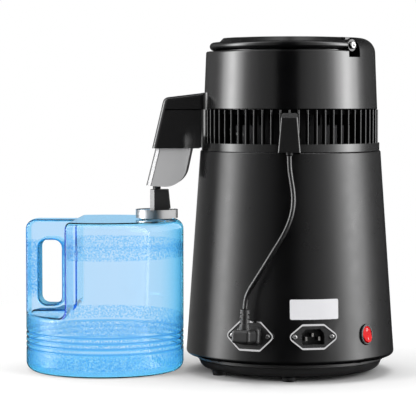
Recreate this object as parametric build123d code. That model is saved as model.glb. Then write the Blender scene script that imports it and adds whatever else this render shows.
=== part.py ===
from build123d import *
import os
from math import atan2, cos, degrees, pi, radians, sin, sqrt, tan

# Countertop water distiller: a tapered boiler, a lift-off head with fan and condenser,
# a plug-in lead between them, and a water jug under the spout.
# Millimetres. While modelling, the boiler's axis is Z and the counter is z = 0.
# The finished pieces are moved along X so that the origin lies under the middle of the whole set.

# Fits
slip_gap = 0.1
lift_gap = 0.3
pin_gap = 0.06
overrun = 6.0

# Feet and base pan
foot_r = 8.0
foot_taper = 0.9
foot_height = 4.7
foot_bore_r = 4.4
foot_web = 2.3
foot_circle_r = 88.0
foot_azimuths = (-90, -150, 30, 90)
foot_screw_r = 1.75
foot_screw_head_r = 3.6
foot_screw_head = 1.4
foot_screw_length = 7.5
pan_low_r = 97.5
pan_waist_r = 101.5
pan_round = 9.0
pan_wall = 1.2
pan_band = 4.0
pan_step = 1.2
pan_flange_width = 6.0
pan_screw_azimuths = (45, 135, 225, 315)
pan_screw_r = 1.5
pan_screw_head_r = 2.8
pan_screw_head = 1.5
pan_screw_length = 5.0

# Boiler shell
shell_low_r = 115.0
shell_top_r = 99.3
shell_low_z = 20.0
shell_top_z = 244.0
shell_wall = 1.0
shell_lip_width = 11.0
shell_lip_round = 4.0
shell_edge_round = 1.4

# Boiling tank and heater
tank_r = 84.5
tank_wall = 0.8
tank_low_z = 66.0
tank_round = 3.0
tank_rim_width = 7.0
tank_hole_gap = 0.5
heater_r = 70.0
heater_thickness = 4.0
element_r = 52.0
element_width = 9.0
element_depth = 6.0
terminal_r = 2.5
terminal_length = 12.0
terminal_half_angle = 9.0
clamp_r = 30.0
clamp_thickness = 2.0
clamp_nut_r = 6.5
clamp_nut_height = 5.0
thermostat_r = 8.0
thermostat_height = 9.0
thermostat_circle_r = 38.0
thermostat_azimuths = (60, 300)
thermostat_blade = 6.0
thermostat_blade_width = 4.0
thermostat_blade_thickness = 0.8

# Sockets on the shell
socket_z = 50.5
inlet_azimuth = -77.0
lead_azimuth = -111.0
trim_width = 57.0
inlet_trim_height = 27.0
lead_trim_height = 32.0
trim_flat = 23.5
trim_rim = 2.0
trim_rise = 1.9
trim_tip_round = 5.5
trim_corner_round = 3.0
flange_rise = 1.1
flange_root = 5.0
barrel_width = 28.0
barrel_height = 20.0
barrel_round = 2.0
barrel_depth = 20.0
cavity_width = 24.2
cavity_height = 16.4
cavity_bevel = 4.6
cavity_round = 1.0
cavity_depth = 16.0
blade_thickness = 2.0
blade_height = 4.0
blade_spread = 7.0
blade_offset = 2.0
blade_length = 13.5
blade_tail = 8.0
socket_screw_spacing = 40.0
socket_screw_r = 1.6
socket_screw_head_r = 2.5
socket_screw_head = 1.7
socket_screw_length = 9.0

# Rocker switch
switch_azimuth = -43.5
switch_z = 49.5
bezel_half_width = 9.2
bezel_half_height = 11.3
bezel_rise = 2.2
bezel_round = 1.0
bezel_barrel_inset = 0.9
bezel_barrel_depth = 18.0
bezel_mouth_inset = 2.1
bezel_mouth_depth = 5.0
rocker_gap = 0.6
rocker_tilt = 9.0
rocker_pivot_rise = 0.4
rocker_crown = 1.4
rocker_root = 2.2
rocker_pin_r = 1.2
rocker_pin_depth = 0.8
switch_blade_width = 6.3
switch_blade_thickness = 0.8
switch_blade_length = 8.0
switch_blade_spread = 4.0

# Head: vent housing
ring_r = 98.0
ring_wall = 2.5
ring_height = 8.3
ring_ledge_width = 6.0
slat_count = 62
slat_first_azimuth = -90.0
slat_r = 96.4
slat_depth = 6.0
slat_width = 2.0
slat_height = 36.4
collar_wall = 3.2
collar_height = 10.0
collar_rise = 5.0
lug_r = 5.0
lug_height = 4.0
lug_azimuths = (40, 130, 230, 310)

# Head: cover
cover_low_r = 95.5
cover_top_r = 92.4
cover_height = 77.8
cover_crown = 1.2
cover_shoulder = 17.0
cover_wall = 2.5
cover_edge_round = 1.4
groove_edge_round = 1.8
groove_edge_lean = 0.45
disc_r = 79.5
disc_edge_round = 5.0
groove_rise = 63.4
pocket_width = 18.0
pocket_drop = 7.2
pocket_wall = 2.5
cover_post_r = 4.0
cover_screw_r = 1.5
cover_screw_head_r = 2.9
cover_screw_head = 1.8
cover_screw_length = 12.0

# Carrying handle
handle_azimuth = -132.0
handle_bar_r = 4.4
handle_gap = 0.7
handle_floor_gap = 1.1
eye_r = 6.4
pivot_r = 2.5
pivot_head_r = 4.0
pivot_head = 2.4
pivot_root = 7.0
pivot_boss_r = 6.0

# Spout and nozzle
spout_width = 50.0
spout_wall = 2.5
spout_root_reach = 84.0
spout_root_rise = 19.6
spout_top_reach = 138.5
spout_top_rise = 13.0
spout_low_reach = 151.5
spout_low_drop = 42.5
spout_inner_reach = 99.8
spout_corner_round = 7.0
spout_edge_round = 5.0
spout_root_round = 6.0
seam_depth = 0.5
seam_height = 0.6
nozzle_width = 44.0
nozzle_wall = 1.5
nozzle_top_reach = 148.0
nozzle_low_reach = 158.3
nozzle_inner_reach = 108.6
nozzle_heel_reach = 118.0
nozzle_toe_drop = 41.0
nozzle_heel_drop = 43.6
nozzle_heel_round = 24.0
nozzle_edge_bevel = 5.0
tongue_height = 9.0
tongue_inset = 4.0
shelf_drop = 26.0
shelf_thickness = 1.5
filter_gap = 0.8
filter_height = 22.0
filter_wall = 1.2
filter_hole_r = 3.0
tip_reach = 148.0
tip_r = 4.4
tip_bore_r = 2.2
tip_drop = 1.9
tip_flange_r = 6.6
tip_flange = 1.6

# Steam dish, seal and condenser
dish_thickness = 1.0
dish_rise = 5.0
dish_spigot_drop = 5.0
dish_spigot_gap = 1.2
dish_screw_azimuths = (30, 90, 150, 210, 270, 330)
dish_screw_r = 1.4
dish_screw_head_r = 2.3
dish_screw_head = 1.6
dish_screw_length = 3.4
seal_inner_gap = 1.0
seal_width = 5.0
riser_r = 7.0
riser_bore_r = 5.5
riser_head_width = 16.0
riser_socket_depth = 3.0
coil_r = 68.0
coil_tube_r = 4.5
coil_pitch = 12.5
coil_turns = 2
coil_low_rise = 16.5
coil_low_azimuth = -123.0
coil_gap_points = 240
fin_sleeve_wall = 1.2
fin_count = 44
fin_reach = 5.0
fin_thickness = 1.0
fin_low_rise = 22.5
fin_height = 25.0
fin_leg_half_angle = 6.0
fin_leg_azimuths = (10, 100, 190, 280)

# Fan
fan_r = 58.0
fan_hub_r = 14.0
fan_hub_height = 13.0
fan_blade_count = 5
fan_blade_chord = 34.0
fan_blade_thickness = 1.6
fan_blade_pitch = 24.0
fan_low_rise = 66.0
fan_shaft_r = 2.0
fan_shaft_length = 14.0
motor_r = 24.0
motor_height = 20.0
motor_gap = 1.5
motor_bore_depth = 16.0
bracket_length = 130.0
bracket_width = 22.0
bracket_thickness = 2.0
bracket_screw_r = 1.7
bracket_screw_head_r = 3.2
bracket_screw_head = 2.0
bracket_screw_length = 9.0
bracket_post_r = 5.0
bracket_post_inset = 8.0

# Lead cover on the head, the lead and its plug
lead_cover_top_width = 17.0
lead_cover_low_width = 24.0
lead_cover_height = 41.4
lead_cover_depth = 14.5
lead_cover_wall = 2.0
lead_cover_round = 2.5
lead_cover_bevel = 5.0
lead_cover_edge_round = 2.0
gland_inset = 7.0
gland_r = 3.8
gland_flange_r = 4.8
gland_flange = 1.6
gland_drop = 2.6
lead_r = 2.6
plug_nose_depth = 14.0
plug_nose_gap = 0.3
plug_head_width = 26.0
plug_head_height = 18.4
plug_head_reach = 10.5
plug_head_round = 4.0
plug_width = 20.5
plug_height = 14.0
plug_reach = 29.0
plug_round = 3.5
plug_slot_gap = 0.25
plug_boss_r = 6.0
plug_boss_rise = 9.0
plug_lead_reach = 17.0
relief_low_r = 5.4
relief_top_r = 5.0
relief_length = 19.0
relief_rib_count = 3
relief_rib_depth = 1.7
relief_rib_width = 1.6

# The lead's route, from the gland to the strain relief
lead_route = [
    (0.0, -105.5, 241.7),
    (0.0, -105.5, 229.5),
    (2.0, -106.9, 216.0),
    (4.4, -109.2, 202.0),
    (4.6, -111.4, 188.5),
    (1.4, -114.0, 173.5),
    (-5.8, -116.5, 157.6),
    (-15.0, -118.3, 143.0),
    (-25.8, -119.4, 125.2),
    (-36.4, -119.4, 108.4),
    (-43.0, -118.9, 97.4),
    (-45.62, -118.81, 88.2),
    (-45.82, -119.37, 79.64),
]
lead_bend_share = 0.45

# Jug and cap
jug_r = 87.5
jug_wall = 2.0
jug_gap = 3.5
jug_top_round = 11.0
jug_base_round = 10.0
jug_waist_reach = 35.4
jug_bay_floor = 64.0
jug_bay_round = 9.0
grip_width = 36.0
grip_round = 5.0
grip_hole_near = 46.5
grip_hole_far = 72.0
grip_hole_low = 73.0
grip_hole_high = 144.7
grip_hole_round = 9.0
groove_heights = (26.0, 32.0, 38.0, 44.0)
jug_groove_r = 1.7
jug_groove_depth = 0.9
neck_r = 19.5
neck_wall = 2.2
neck_height = 6.5
cap_r = 22.3
cap_rise = 1.5
cap_top = 2.4
cap_band_wall = 1.05
cap_band_height = 9.4
cap_neck_gap = 0.4
gasket_thickness = 1.6
stem_rise = 22.4
stem_outer_reach = 7.0
stem_low_reach = 15.0
stem_top_reach = 12.5
stem_width = 20.0
stem_bevel_long = 5.0
stem_bevel_wide = 3.7
stem_bore_r = 4.4
drip_gap = 0.6

# Places that follow from the sizes above
ring_low_z = shell_top_z + lift_gap
ring_top_z = ring_low_z + ring_height
cover_low_z = ring_top_z + slat_height
cover_edge_z = cover_low_z + cover_height
cover_top_z = cover_edge_z + cover_crown
groove_z = cover_low_z + groove_rise
groove_edge_share = (groove_rise - groove_edge_round) / cover_height
groove_edge_r = cover_low_r + (cover_top_r - cover_low_r) * groove_edge_share
tank_hole_r = tank_r + tank_hole_gap
tank_rim_r = tank_r + tank_rim_width
tank_rim_z = shell_top_z + tank_wall
lip_hole_r = shell_low_r - shell_lip_width
pan_top_r = lip_hole_r - lift_gap
pan_flange_z = shell_low_z + shell_wall
pan_flange_r = lip_hole_r + pan_flange_width
pan_screw_circle_r = (lip_hole_r + pan_flange_r) / 2
heater_low_z = tank_low_z - heater_thickness
dish_z = shell_top_z + dish_rise
dish_top_z = dish_z + dish_thickness
dish_r = ring_r - ring_wall - slip_gap
dish_screw_circle_r = dish_r - ring_ledge_width / 2
collar_r = cover_low_r - cover_wall - slip_gap - (cover_low_r - cover_top_r) * collar_rise / cover_height
collar_low_z = cover_low_z + collar_rise - collar_height
collar_top_z = cover_low_z + collar_rise
lug_circle_r = collar_r - collar_wall - lug_r + slip_gap
handle_r = disc_r + handle_gap + handle_bar_r
handle_z = groove_z + handle_floor_gap + handle_bar_r
spout_low_z = cover_low_z - spout_low_drop
rocker_inset = bezel_mouth_inset + rocker_gap
rocker_pin_reach = bezel_half_width - bezel_mouth_inset + rocker_pin_depth
nozzle_low_z = spout_low_z - nozzle_heel_drop
tongue_long = nozzle_top_reach - nozzle_inner_reach - tongue_inset * 2
tongue_wide = nozzle_width - tongue_inset * 2
tongue_reach = (nozzle_top_reach + nozzle_inner_reach) / 2
heel_lean = (nozzle_heel_reach - nozzle_inner_reach) / nozzle_heel_drop
filter_outer_reach = min(nozzle_top_reach, nozzle_low_reach)
filter_inner_reach = nozzle_inner_reach + max(0, heel_lean * shelf_drop)
filter_reach = (filter_outer_reach + filter_inner_reach) / 2
filter_r = min(filter_outer_reach - filter_inner_reach, nozzle_width) / 2 - nozzle_wall - filter_gap
tip_low_z = nozzle_low_z - tip_drop
coil_low_z = dish_top_z + coil_low_rise - coil_tube_r
coil_top_turn = coil_turns - coil_low_azimuth / 360
coil_top_z = coil_low_z + coil_pitch * coil_top_turn
coil_end_run = coil_tube_r * 2
riser_y = -coil_end_run - riser_head_width / 2 + riser_socket_depth
fan_low_z = dish_top_z + fan_low_rise
motor_low_z = fan_low_z + fan_hub_height + motor_gap
bracket_z = motor_low_z + motor_height
lead_cover_reach = ring_r + lead_cover_depth
gland_reach = lead_cover_reach - gland_inset
jug_x = -(shell_low_r + jug_gap + jug_r)
neck_offset = -tip_reach - jug_x
stem_top_z = tip_low_z - drip_gap
cap_top_z = stem_top_z - stem_rise
neck_top_z = cap_top_z - cap_top - gasket_thickness
jug_height = neck_top_z - neck_height
cap_low_z = jug_height + cap_rise
row_x = (-jug_x + jug_r - shell_low_r) / 2


# Building blocks
def outline(plane, corners):
    """A closed face on a plane from corners given as (across, up, corner radius)."""
    points = [(across, up) for across, up, _ in corners]
    radii = [radius for _, _, radius in corners]
    return make_face(plane * FilletPolyline(*points, radius=radii, close=True))


def turned(corners):
    """A solid of revolution about Z from corners given as (radius, height, corner radius)."""
    return revolve(outline(Plane.XZ, corners), Axis.Z)


def post(radius, low, high):
    """A round post on Z between two heights."""
    return Pos(0, 0, low) * Cylinder(radius, high - low, align=(Align.CENTER, Align.CENTER, Align.MIN))


def tube(outer_r, inner_r, low, high):
    """A straight tube on Z between two heights."""
    return post(outer_r, low, high) - post(inner_r, low - overrun, high + overrun)


def block(width, depth, low, high):
    """A box centred on Z between two heights."""
    return Pos(0, 0, low) * Box(width, depth, high - low, align=(Align.CENTER, Align.CENTER, Align.MIN))


def slab(corners, width):
    """An outline in the XZ plane, thickened evenly to both sides."""
    return extrude(outline(Plane.XZ, corners), amount=width / 2, both=True)


def around(shape, radius, azimuths):
    """Copies of a shape at a radius from Z, each turned to face outwards."""
    return [Rot(0, 0, azimuth) * Pos(radius, 0, 0) * shape for azimuth in azimuths]


def evenly(count):
    """Azimuths of a full even pattern."""
    return [turn * 360 / count for turn in range(count)]


def screw(shank_r, shank_length, head_r, head_height):
    """A pan-head screw with its seat at z = 0, the shank up and the head down."""
    head = Pos(0, 0, -head_height) * Cylinder(
        head_r, head_height, align=(Align.CENTER, Align.CENTER, Align.MIN)
    )
    head = fillet(head.edges().group_by(Axis.Z)[0], head_height / 2)
    return head + post(shank_r, 0, shank_length)


def shell_radius(height):
    """The tapered shell's outer radius at a height."""
    share = (height - shell_low_z) / (shell_top_z - shell_low_z)
    return shell_low_r + (shell_top_r - shell_low_r) * share


def on_shell(azimuth, height):
    """A plane tangent to the shell: x runs round it, y up it and z out of it."""
    tilt = atan2(shell_low_r - shell_top_r, shell_top_z - shell_low_z)
    turn = radians(azimuth)
    radius = shell_radius(height)
    return Plane(
        origin=(radius * cos(turn), radius * sin(turn), height),
        x_dir=(-sin(turn), cos(turn), 0),
        z_dir=(cos(turn) * cos(tilt), sin(turn) * cos(tilt), sin(tilt)),
    )


# Boiler
def shell_form():
    """The solid space inside the shell's outer face."""
    return turned(
        [
            (0, shell_low_z, 0),
            (shell_low_r, shell_low_z, shell_lip_round),
            (shell_top_r, shell_top_z, shell_edge_round),
            (0, shell_top_z, 0),
        ]
    )


def body_shell():
    """Tapered sheet shell with a turned-in lip below and a flange for the tank above."""
    inner_low_r = shell_low_r - shell_wall
    inner_top_r = shell_top_r - shell_wall
    shell = turned(
        [
            (lip_hole_r, shell_low_z, 0),
            (shell_low_r, shell_low_z, shell_lip_round),
            (shell_top_r, shell_top_z, shell_edge_round),
            (tank_hole_r, shell_top_z, 0),
            (tank_hole_r, shell_top_z - shell_wall, 0),
            (inner_top_r, shell_top_z - shell_wall, shell_edge_round / 2),
            (inner_low_r, shell_low_z + shell_wall, shell_lip_round - shell_wall),
            (lip_hole_r, shell_low_z + shell_wall, 0),
        ]
    )
    for azimuth in (inlet_azimuth, lead_azimuth):
        shell -= on_shell(azimuth, socket_z) * barrel(slip_gap, -barrel_depth, overrun)
        shell -= on_shell(azimuth, socket_z) * socket_holes()
    switch_hole = switch_oval(bezel_barrel_inset - slip_gap, -barrel_depth, overrun)
    shell -= on_shell(switch_azimuth, switch_z) * switch_hole
    for hole in around(
        post(pan_screw_r + slip_gap, shell_low_z - overrun, pan_flange_z + pan_wall),
        pan_screw_circle_r,
        pan_screw_azimuths,
    ):
        shell -= hole
    return shell


def boiling_tank():
    """Deep drawn steel tank that hangs by its rim on the shell's flange."""
    inner_r = tank_r - tank_wall
    return turned(
        [
            (0, tank_low_z, 0),
            (tank_r, tank_low_z, tank_round),
            (tank_r, shell_top_z, 0),
            (tank_rim_r, shell_top_z, 0),
            (tank_rim_r, tank_rim_z, tank_wall / 2),
            (inner_r, tank_rim_z, tank_wall),
            (inner_r, tank_low_z + tank_wall, tank_round - tank_wall),
            (0, tank_low_z + tank_wall, 0),
        ]
    )


def heater_plate():
    """Cast plate under the tank with the heating element cast into a rib."""
    plate = post(heater_r, heater_low_z, tank_low_z)
    rib = tube(
        element_r + element_width / 2,
        element_r - element_width / 2,
        heater_low_z - element_depth,
        heater_low_z,
    )
    return plate + rib


def heater_terminals():
    """The element's two cold ends, below the rib."""
    high = heater_low_z - element_depth
    one = post(terminal_r, high - terminal_length, high)
    return around(one, element_r, (-terminal_half_angle, terminal_half_angle))


def heater_clamp():
    """Round clamp plate and nut that press the heater to the tank."""
    high = heater_low_z
    plate = post(clamp_r, high - clamp_thickness, high)
    nut = extrude(
        Plane.XY.offset(high - clamp_thickness - clamp_nut_height) * RegularPolygon(clamp_nut_r, 6),
        amount=clamp_nut_height,
    )
    return plate + nut


def thermostats():
    """Two disc thermostats on the heater, each with a pair of blades."""
    high = heater_low_z
    can = post(thermostat_r, high - thermostat_height, high)
    for side in (-1, 1):
        can += Pos(side * thermostat_r / 2, 0, high - thermostat_height - thermostat_blade) * Box(
            thermostat_blade_thickness,
            thermostat_blade_width,
            thermostat_blade,
            align=(Align.CENTER, Align.CENTER, Align.MIN),
        )
    return around(can, thermostat_circle_r, thermostat_azimuths)


def base_pan():
    """Black bottom cover: a stepped dish that hangs through the shell's lip."""
    step_z = shell_low_z - pan_band
    waist_z = step_z - pan_step
    flange_top = pan_flange_z + pan_wall
    pan = turned(
        [
            (0, foot_height, 0),
            (pan_low_r, foot_height, pan_round),
            (pan_waist_r, waist_z, 0),
            (pan_top_r, step_z, 0),
            (pan_top_r, pan_flange_z, 0),
            (pan_flange_r, pan_flange_z, 0),
            (pan_flange_r, flange_top, 0),
            (pan_top_r - pan_wall, flange_top, 0),
            (pan_top_r - pan_wall, step_z + pan_wall / 2, 0),
            (pan_waist_r - pan_wall, waist_z + pan_wall / 2, 0),
            (pan_low_r - pan_wall, foot_height + pan_wall, pan_round - pan_wall),
            (0, foot_height + pan_wall, 0),
        ]
    )
    foot_hole = post(foot_screw_r + slip_gap, 0, foot_height + pan_wall + overrun)
    screw_hole = post(pan_screw_r + slip_gap, shell_low_z, flange_top + overrun)
    for hole in around(foot_hole, foot_circle_r, foot_azimuths):
        pan -= hole
    for hole in around(screw_hole, pan_screw_circle_r, pan_screw_azimuths):
        pan -= hole
    return pan


def pan_screws():
    """Screws that hold the pan to the shell's lip from below."""
    one = Pos(0, 0, shell_low_z) * screw(pan_screw_r, pan_screw_length, pan_screw_head_r, pan_screw_head)
    return around(one, pan_screw_circle_r, pan_screw_azimuths)


def feet():
    """Rubber feet, bored from below for their screws."""
    foot = turned(
        [
            (foot_screw_r + slip_gap, foot_web, 0),
            (foot_bore_r, foot_web, 0),
            (foot_bore_r, 0, 0),
            (foot_r - foot_taper, 0, foot_taper / 2),
            (foot_r, foot_height, 0),
            (foot_screw_r + slip_gap, foot_height, 0),
        ]
    )
    return around(foot, foot_circle_r, foot_azimuths)


def foot_screws():
    """One screw up through each foot."""
    one = Pos(0, 0, foot_web) * screw(foot_screw_r, foot_screw_length, foot_screw_head_r, foot_screw_head)
    return around(one, foot_circle_r, foot_azimuths)


# Sockets
def trim_face(height, inset):
    """The sockets' six-sided outline with pointed ends, on the XY plane."""
    half = trim_width / 2 - inset
    flat = trim_flat / 2
    rise = height / 2 - inset
    tip = trim_tip_round - inset
    corner = trim_corner_round
    return outline(
        Plane.XY,
        [
            (-half, 0, tip),
            (-flat, -rise, corner),
            (flat, -rise, corner),
            (half, 0, tip),
            (flat, rise, corner),
            (-flat, rise, corner),
        ],
    )


def barrel(gap, low, high):
    """The part of a socket that passes through the shell."""
    half = barrel_width / 2 + gap
    rise = barrel_height / 2 + gap
    face = outline(
        Plane.XY,
        [(x, y, barrel_round) for x, y in ((-half, -rise), (half, -rise), (half, rise), (-half, rise))],
    )
    return extrude(Pos(0, 0, low) * face, amount=high - low)


def connector_face(gap):
    """The connector outline: a rectangle with its two upper corners bevelled."""
    half = cavity_width / 2 - gap
    rise = cavity_height / 2 - gap
    return outline(
        Plane.XY,
        [
            (-half, -rise, cavity_round),
            (half, -rise, cavity_round),
            (half, rise - cavity_bevel, 0),
            (half - cavity_bevel, rise, 0),
            (cavity_bevel - half, rise, 0),
            (-half, rise - cavity_bevel, 0),
        ],
    )


def connector_spots():
    """Where the three blades stand on the connector's face."""
    return [(-blade_spread, -blade_offset), (blade_spread, -blade_offset), (0, blade_offset)]


def socket_spots():
    """Where the two fixing screws stand on a socket's flange."""
    return [(-socket_screw_spacing / 2, 0), (socket_screw_spacing / 2, 0)]


def socket_holes():
    """Clearance holes for a socket's fixing screws."""
    hole = post(socket_screw_r + slip_gap, -socket_screw_length - overrun, overrun)
    return Compound([Pos(x, y, 0) * hole for x, y in socket_spots()])


def socket_trim(azimuth, height):
    """Bright rim round a socket, with its back on the shell's curve."""
    rim = extrude(Pos(0, 0, -flange_root) * trim_face(height, 0), amount=flange_root + trim_rise)
    rim -= extrude(
        Pos(0, 0, -flange_root - overrun) * trim_face(height, trim_rim),
        amount=flange_root + trim_rise + overrun + overrun,
    )
    return on_shell(azimuth, socket_z) * rim - shell_form()


def socket_body(azimuth, height):
    """Black socket: a flange on the shell, a barrel through it and an open connector cavity."""
    plane = on_shell(azimuth, socket_z)
    flange = extrude(
        Pos(0, 0, -flange_root) * trim_face(height, trim_rim + slip_gap),
        amount=flange_root + flange_rise,
    )
    body = (plane * flange - shell_form()) + plane * barrel(0, -barrel_depth, flange_rise)
    floor = flange_rise - cavity_depth
    body -= plane * extrude(Pos(0, 0, floor) * connector_face(0), amount=cavity_depth + overrun)
    body -= plane * socket_holes()
    for x, y in connector_spots():
        body -= plane * (Pos(x, y, -barrel_depth - overrun) * block(
            blade_thickness, blade_height, 0, barrel_depth + overrun
        ))
    return body


def socket_blades(azimuth):
    """Three flat blades, with tails behind the socket for the wiring."""
    plane = on_shell(azimuth, socket_z)
    low = -barrel_depth - blade_tail
    high = flange_rise - cavity_depth + blade_length
    blade = block(blade_thickness, blade_height, low, high)
    return [plane * (Pos(x, y, 0) * blade) for x, y in connector_spots()]


def socket_screws():
    """Fixing screws of both sockets."""
    one = Rot(180, 0, 0) * screw(socket_screw_r, socket_screw_length, socket_screw_head_r, socket_screw_head)
    return [
        on_shell(azimuth, socket_z) * (Pos(x, y, flange_rise) * one)
        for azimuth in (inlet_azimuth, lead_azimuth)
        for x, y in socket_spots()
    ]


# Rocker switch
def switch_oval(inset, low, high):
    """The switch's upright oval, drawn in and thickened between two heights."""
    face = Ellipse(bezel_half_width - inset, bezel_half_height - inset)
    return extrude(Pos(0, 0, low) * face, amount=high - low)


def switch_bezel():
    """Oval switch body with a rim on the shell and a mouth for the rocker."""
    plane = on_shell(switch_azimuth, switch_z)
    rim = switch_oval(0, -flange_root, bezel_rise)
    rim = fillet(rim.edges().group_by(Axis.Z)[-1], bezel_round)
    body = (plane * rim - shell_form()) + plane * switch_oval(bezel_barrel_inset, -bezel_barrel_depth, 0)
    body -= plane * switch_oval(bezel_mouth_inset, -bezel_mouth_depth, bezel_rise + overrun)
    pin_hole = Pos(0, 0, rocker_pivot_rise) * Rot(0, 90, 0) * Cylinder(
        rocker_pin_r + pin_gap, (rocker_pin_reach + pin_gap) * 2
    )
    return body - plane * pin_hole


def switch_rocker():
    """Oval rocker with a shallow valley, resting with its upper half pressed in."""
    reach = bezel_half_height - rocker_inset
    rise = reach * tan(radians(rocker_tilt))
    wedge = extrude(
        outline(
            Plane.YZ,
            [
                (-reach, -rocker_root, 0),
                (reach, -rocker_root, 0),
                (reach, rocker_crown + rise, 0),
                (0, rocker_crown, 0),
                (-reach, rocker_crown + rise, 0),
            ],
        ),
        amount=bezel_half_width,
        both=True,
    )
    rocker = wedge & switch_oval(rocker_inset, -rocker_root, rocker_crown + rise)
    rocker += Rot(0, 90, 0) * Cylinder(rocker_pin_r, rocker_pin_reach * 2)
    pressed = Pos(0, 0, rocker_pivot_rise) * Rot(-rocker_tilt, 0, 0) * rocker
    return on_shell(switch_azimuth, switch_z) * pressed


def switch_terminals():
    """Two blades behind the switch."""
    plane = on_shell(switch_azimuth, switch_z)
    low = -bezel_barrel_depth - switch_blade_length
    blade = block(switch_blade_width, switch_blade_thickness, low, -bezel_barrel_depth)
    return [plane * (Pos(0, side * switch_blade_spread, 0) * blade) for side in (-1, 1)]


# Head
def cover_form():
    """The head cover's outside, before the handle groove."""
    return turned(
        [
            (0, cover_low_z, 0),
            (cover_low_r, cover_low_z, cover_edge_round),
            (cover_top_r, cover_edge_z, cover_shoulder),
            (0, cover_top_z, 0),
        ]
    )


def spout_block(inset, width):
    """The spout's side outline, from inside the head to its sloping front, thickened."""
    return slab(
        [
            (-spout_root_reach, cover_low_z + spout_root_rise - inset, 0),
            (-spout_top_reach + inset, cover_low_z + spout_top_rise - inset, spout_corner_round - inset),
            (-spout_low_reach + inset, spout_low_z + inset, 0),
            (-spout_inner_reach - inset, spout_low_z + inset, 0),
            (-spout_root_reach, ring_top_z + inset, 0),
        ],
        width,
    )


def spout_form(inset):
    """The spout block with its front edges rounded."""
    form = spout_block(inset, spout_width - inset * 2)
    sides = form.faces().filter_by(Axis.Y)
    front = [
        edge
        for side in sides
        for edge in side.edges()
        if edge.center().X < -spout_inner_reach and edge.center().Z > spout_low_z + overrun
    ]
    return fillet(front, spout_edge_round - inset)


def spout_webs(wall_r):
    """Concave webs where the spout's two sides run into a round wall of the head."""
    side = spout_width / 2
    root = side - spout_wall / 2
    middle_y = side + spout_root_round
    middle_x = -sqrt((wall_r + spout_root_round) ** 2 - middle_y**2)
    middle = Vector(middle_x, middle_y)
    side_end = Vector(middle_x, side)
    wall_end = middle * (wall_r / (wall_r + spout_root_round))
    halfway = (side_end + wall_end) / 2 - middle
    bend = middle + halfway * (spout_root_round / halfway.length)
    edges = [
        ThreePointArc(side_end, bend, wall_end),
        Polyline(wall_end, (wall_end.X, root), (middle_x, root), side_end),
    ]
    web = extrude(Pos(0, 0, spout_low_z) * make_face(edges), amount=spout_low_drop + spout_root_rise)
    web = web & spout_block(0, middle_y * 2)
    return web + mirror(web, about=Plane.XZ)


def half_above(shape, height):
    """The part of a shape above a height."""
    return split(shape, bisect_by=Plane.XY.offset(height), keep=Keep.TOP)


def half_below(shape, height):
    """The part of a shape below a height."""
    return split(shape, bisect_by=Plane.XY.offset(height), keep=Keep.BOTTOM)


def handle_frame(side):
    """A turn that puts the X axis on one of the handle's two pivots."""
    return Rot(0, 0, handle_azimuth + side * 90)


def head_cover():
    """Domed cover with the spout's roof, a groove for the handle and posts inside."""
    ceiling = cover_top_z - cover_wall - cover_crown
    ledge = groove_z - cover_wall
    cavity = turned(
        [
            (0, cover_low_z - overrun, 0),
            (cover_low_r - cover_wall, cover_low_z - overrun, 0),
            (cover_low_r - cover_wall, cover_low_z, 0),
            (cover_top_r - cover_wall, ledge, cover_wall),
            (disc_r - cover_wall, ledge, 0),
            (disc_r - cover_wall, ceiling, disc_edge_round),
            (0, ceiling, 0),
        ]
    )
    spout = half_above(spout_form(0), cover_low_z)
    hollow = half_above(spout_form(spout_wall), cover_low_z - overrun)
    webs = half_above(spout_webs(cover_low_r - cover_wall / 2), cover_low_z)
    cover = cover_form() + spout + webs
    groove_face = outline(
        Plane.XZ,
        [
            (disc_r, groove_z, 0),
            (groove_edge_r - groove_edge_lean, groove_z, groove_edge_round),
            (groove_edge_r + groove_edge_lean, groove_z - groove_edge_round * 2, 0),
            (cover_low_r + overrun, groove_z - groove_edge_round * 2, 0),
            (cover_low_r + overrun, cover_top_z + overrun, 0),
            (disc_r - disc_edge_round, cover_top_z + overrun, 0),
            (disc_r - disc_edge_round, cover_edge_z, 0),
            (disc_r, cover_edge_z - disc_edge_round, 0),
        ],
    )
    groove = Rot(0, 0, handle_azimuth - 90) * revolve(groove_face, Axis.Z, revolution_arc=180)
    cover = cover - groove - cavity - hollow
    pocket_floor = groove_z - pocket_drop
    inner = cover_form()
    for side in (-1, 1):
        turn = handle_frame(side)
        middle = (disc_r + cover_low_r) / 2
        surround = turn * Pos(middle, 0, 0) * block(
            cover_low_r - disc_r + pocket_wall * 2,
            pocket_width + pocket_wall * 2,
            pocket_floor - pocket_wall,
            groove_z - cover_wall / 2,
        )
        boss = turn * Pos(disc_r - pivot_root - pivot_boss_r / 2, 0, handle_z) * Rot(0, 90, 0) * Cylinder(
            pivot_boss_r,
            pivot_root + pivot_boss_r / 2,
            align=(Align.CENTER, Align.CENTER, Align.MIN),
        )
        cover += surround & inner
        cover += boss
    for side in (-1, 1):
        turn = handle_frame(side)
        pocket = turn * Pos(disc_r, 0, 0) * Pos(0, 0, pocket_floor) * Box(
            cover_low_r,
            pocket_width,
            cover_top_z,
            align=(Align.MIN, Align.CENTER, Align.MIN),
        )
        pilot = turn * Pos(disc_r - pivot_root, 0, handle_z) * Rot(0, 90, 0) * Cylinder(
            pivot_r, cover_low_r, align=(Align.CENTER, Align.CENTER, Align.MIN)
        )
        cover = cover - pocket - pilot
    shaft = post(cover_post_r, collar_top_z, ledge + cover_wall / 2)
    shaft -= post(cover_screw_r, collar_top_z - overrun, collar_top_z + cover_screw_length)
    for one in around(shaft, lug_circle_r, lug_azimuths):
        cover += one
    bracket_top = bracket_z + bracket_thickness
    for x in bracket_spots():
        cover += Pos(x, 0, 0) * post(bracket_post_r, bracket_top, ceiling + cover_wall / 2)
        cover -= Pos(x, 0, 0) * post(bracket_screw_r, bracket_top - overrun, bracket_z + bracket_screw_length)
    return cover


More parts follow.
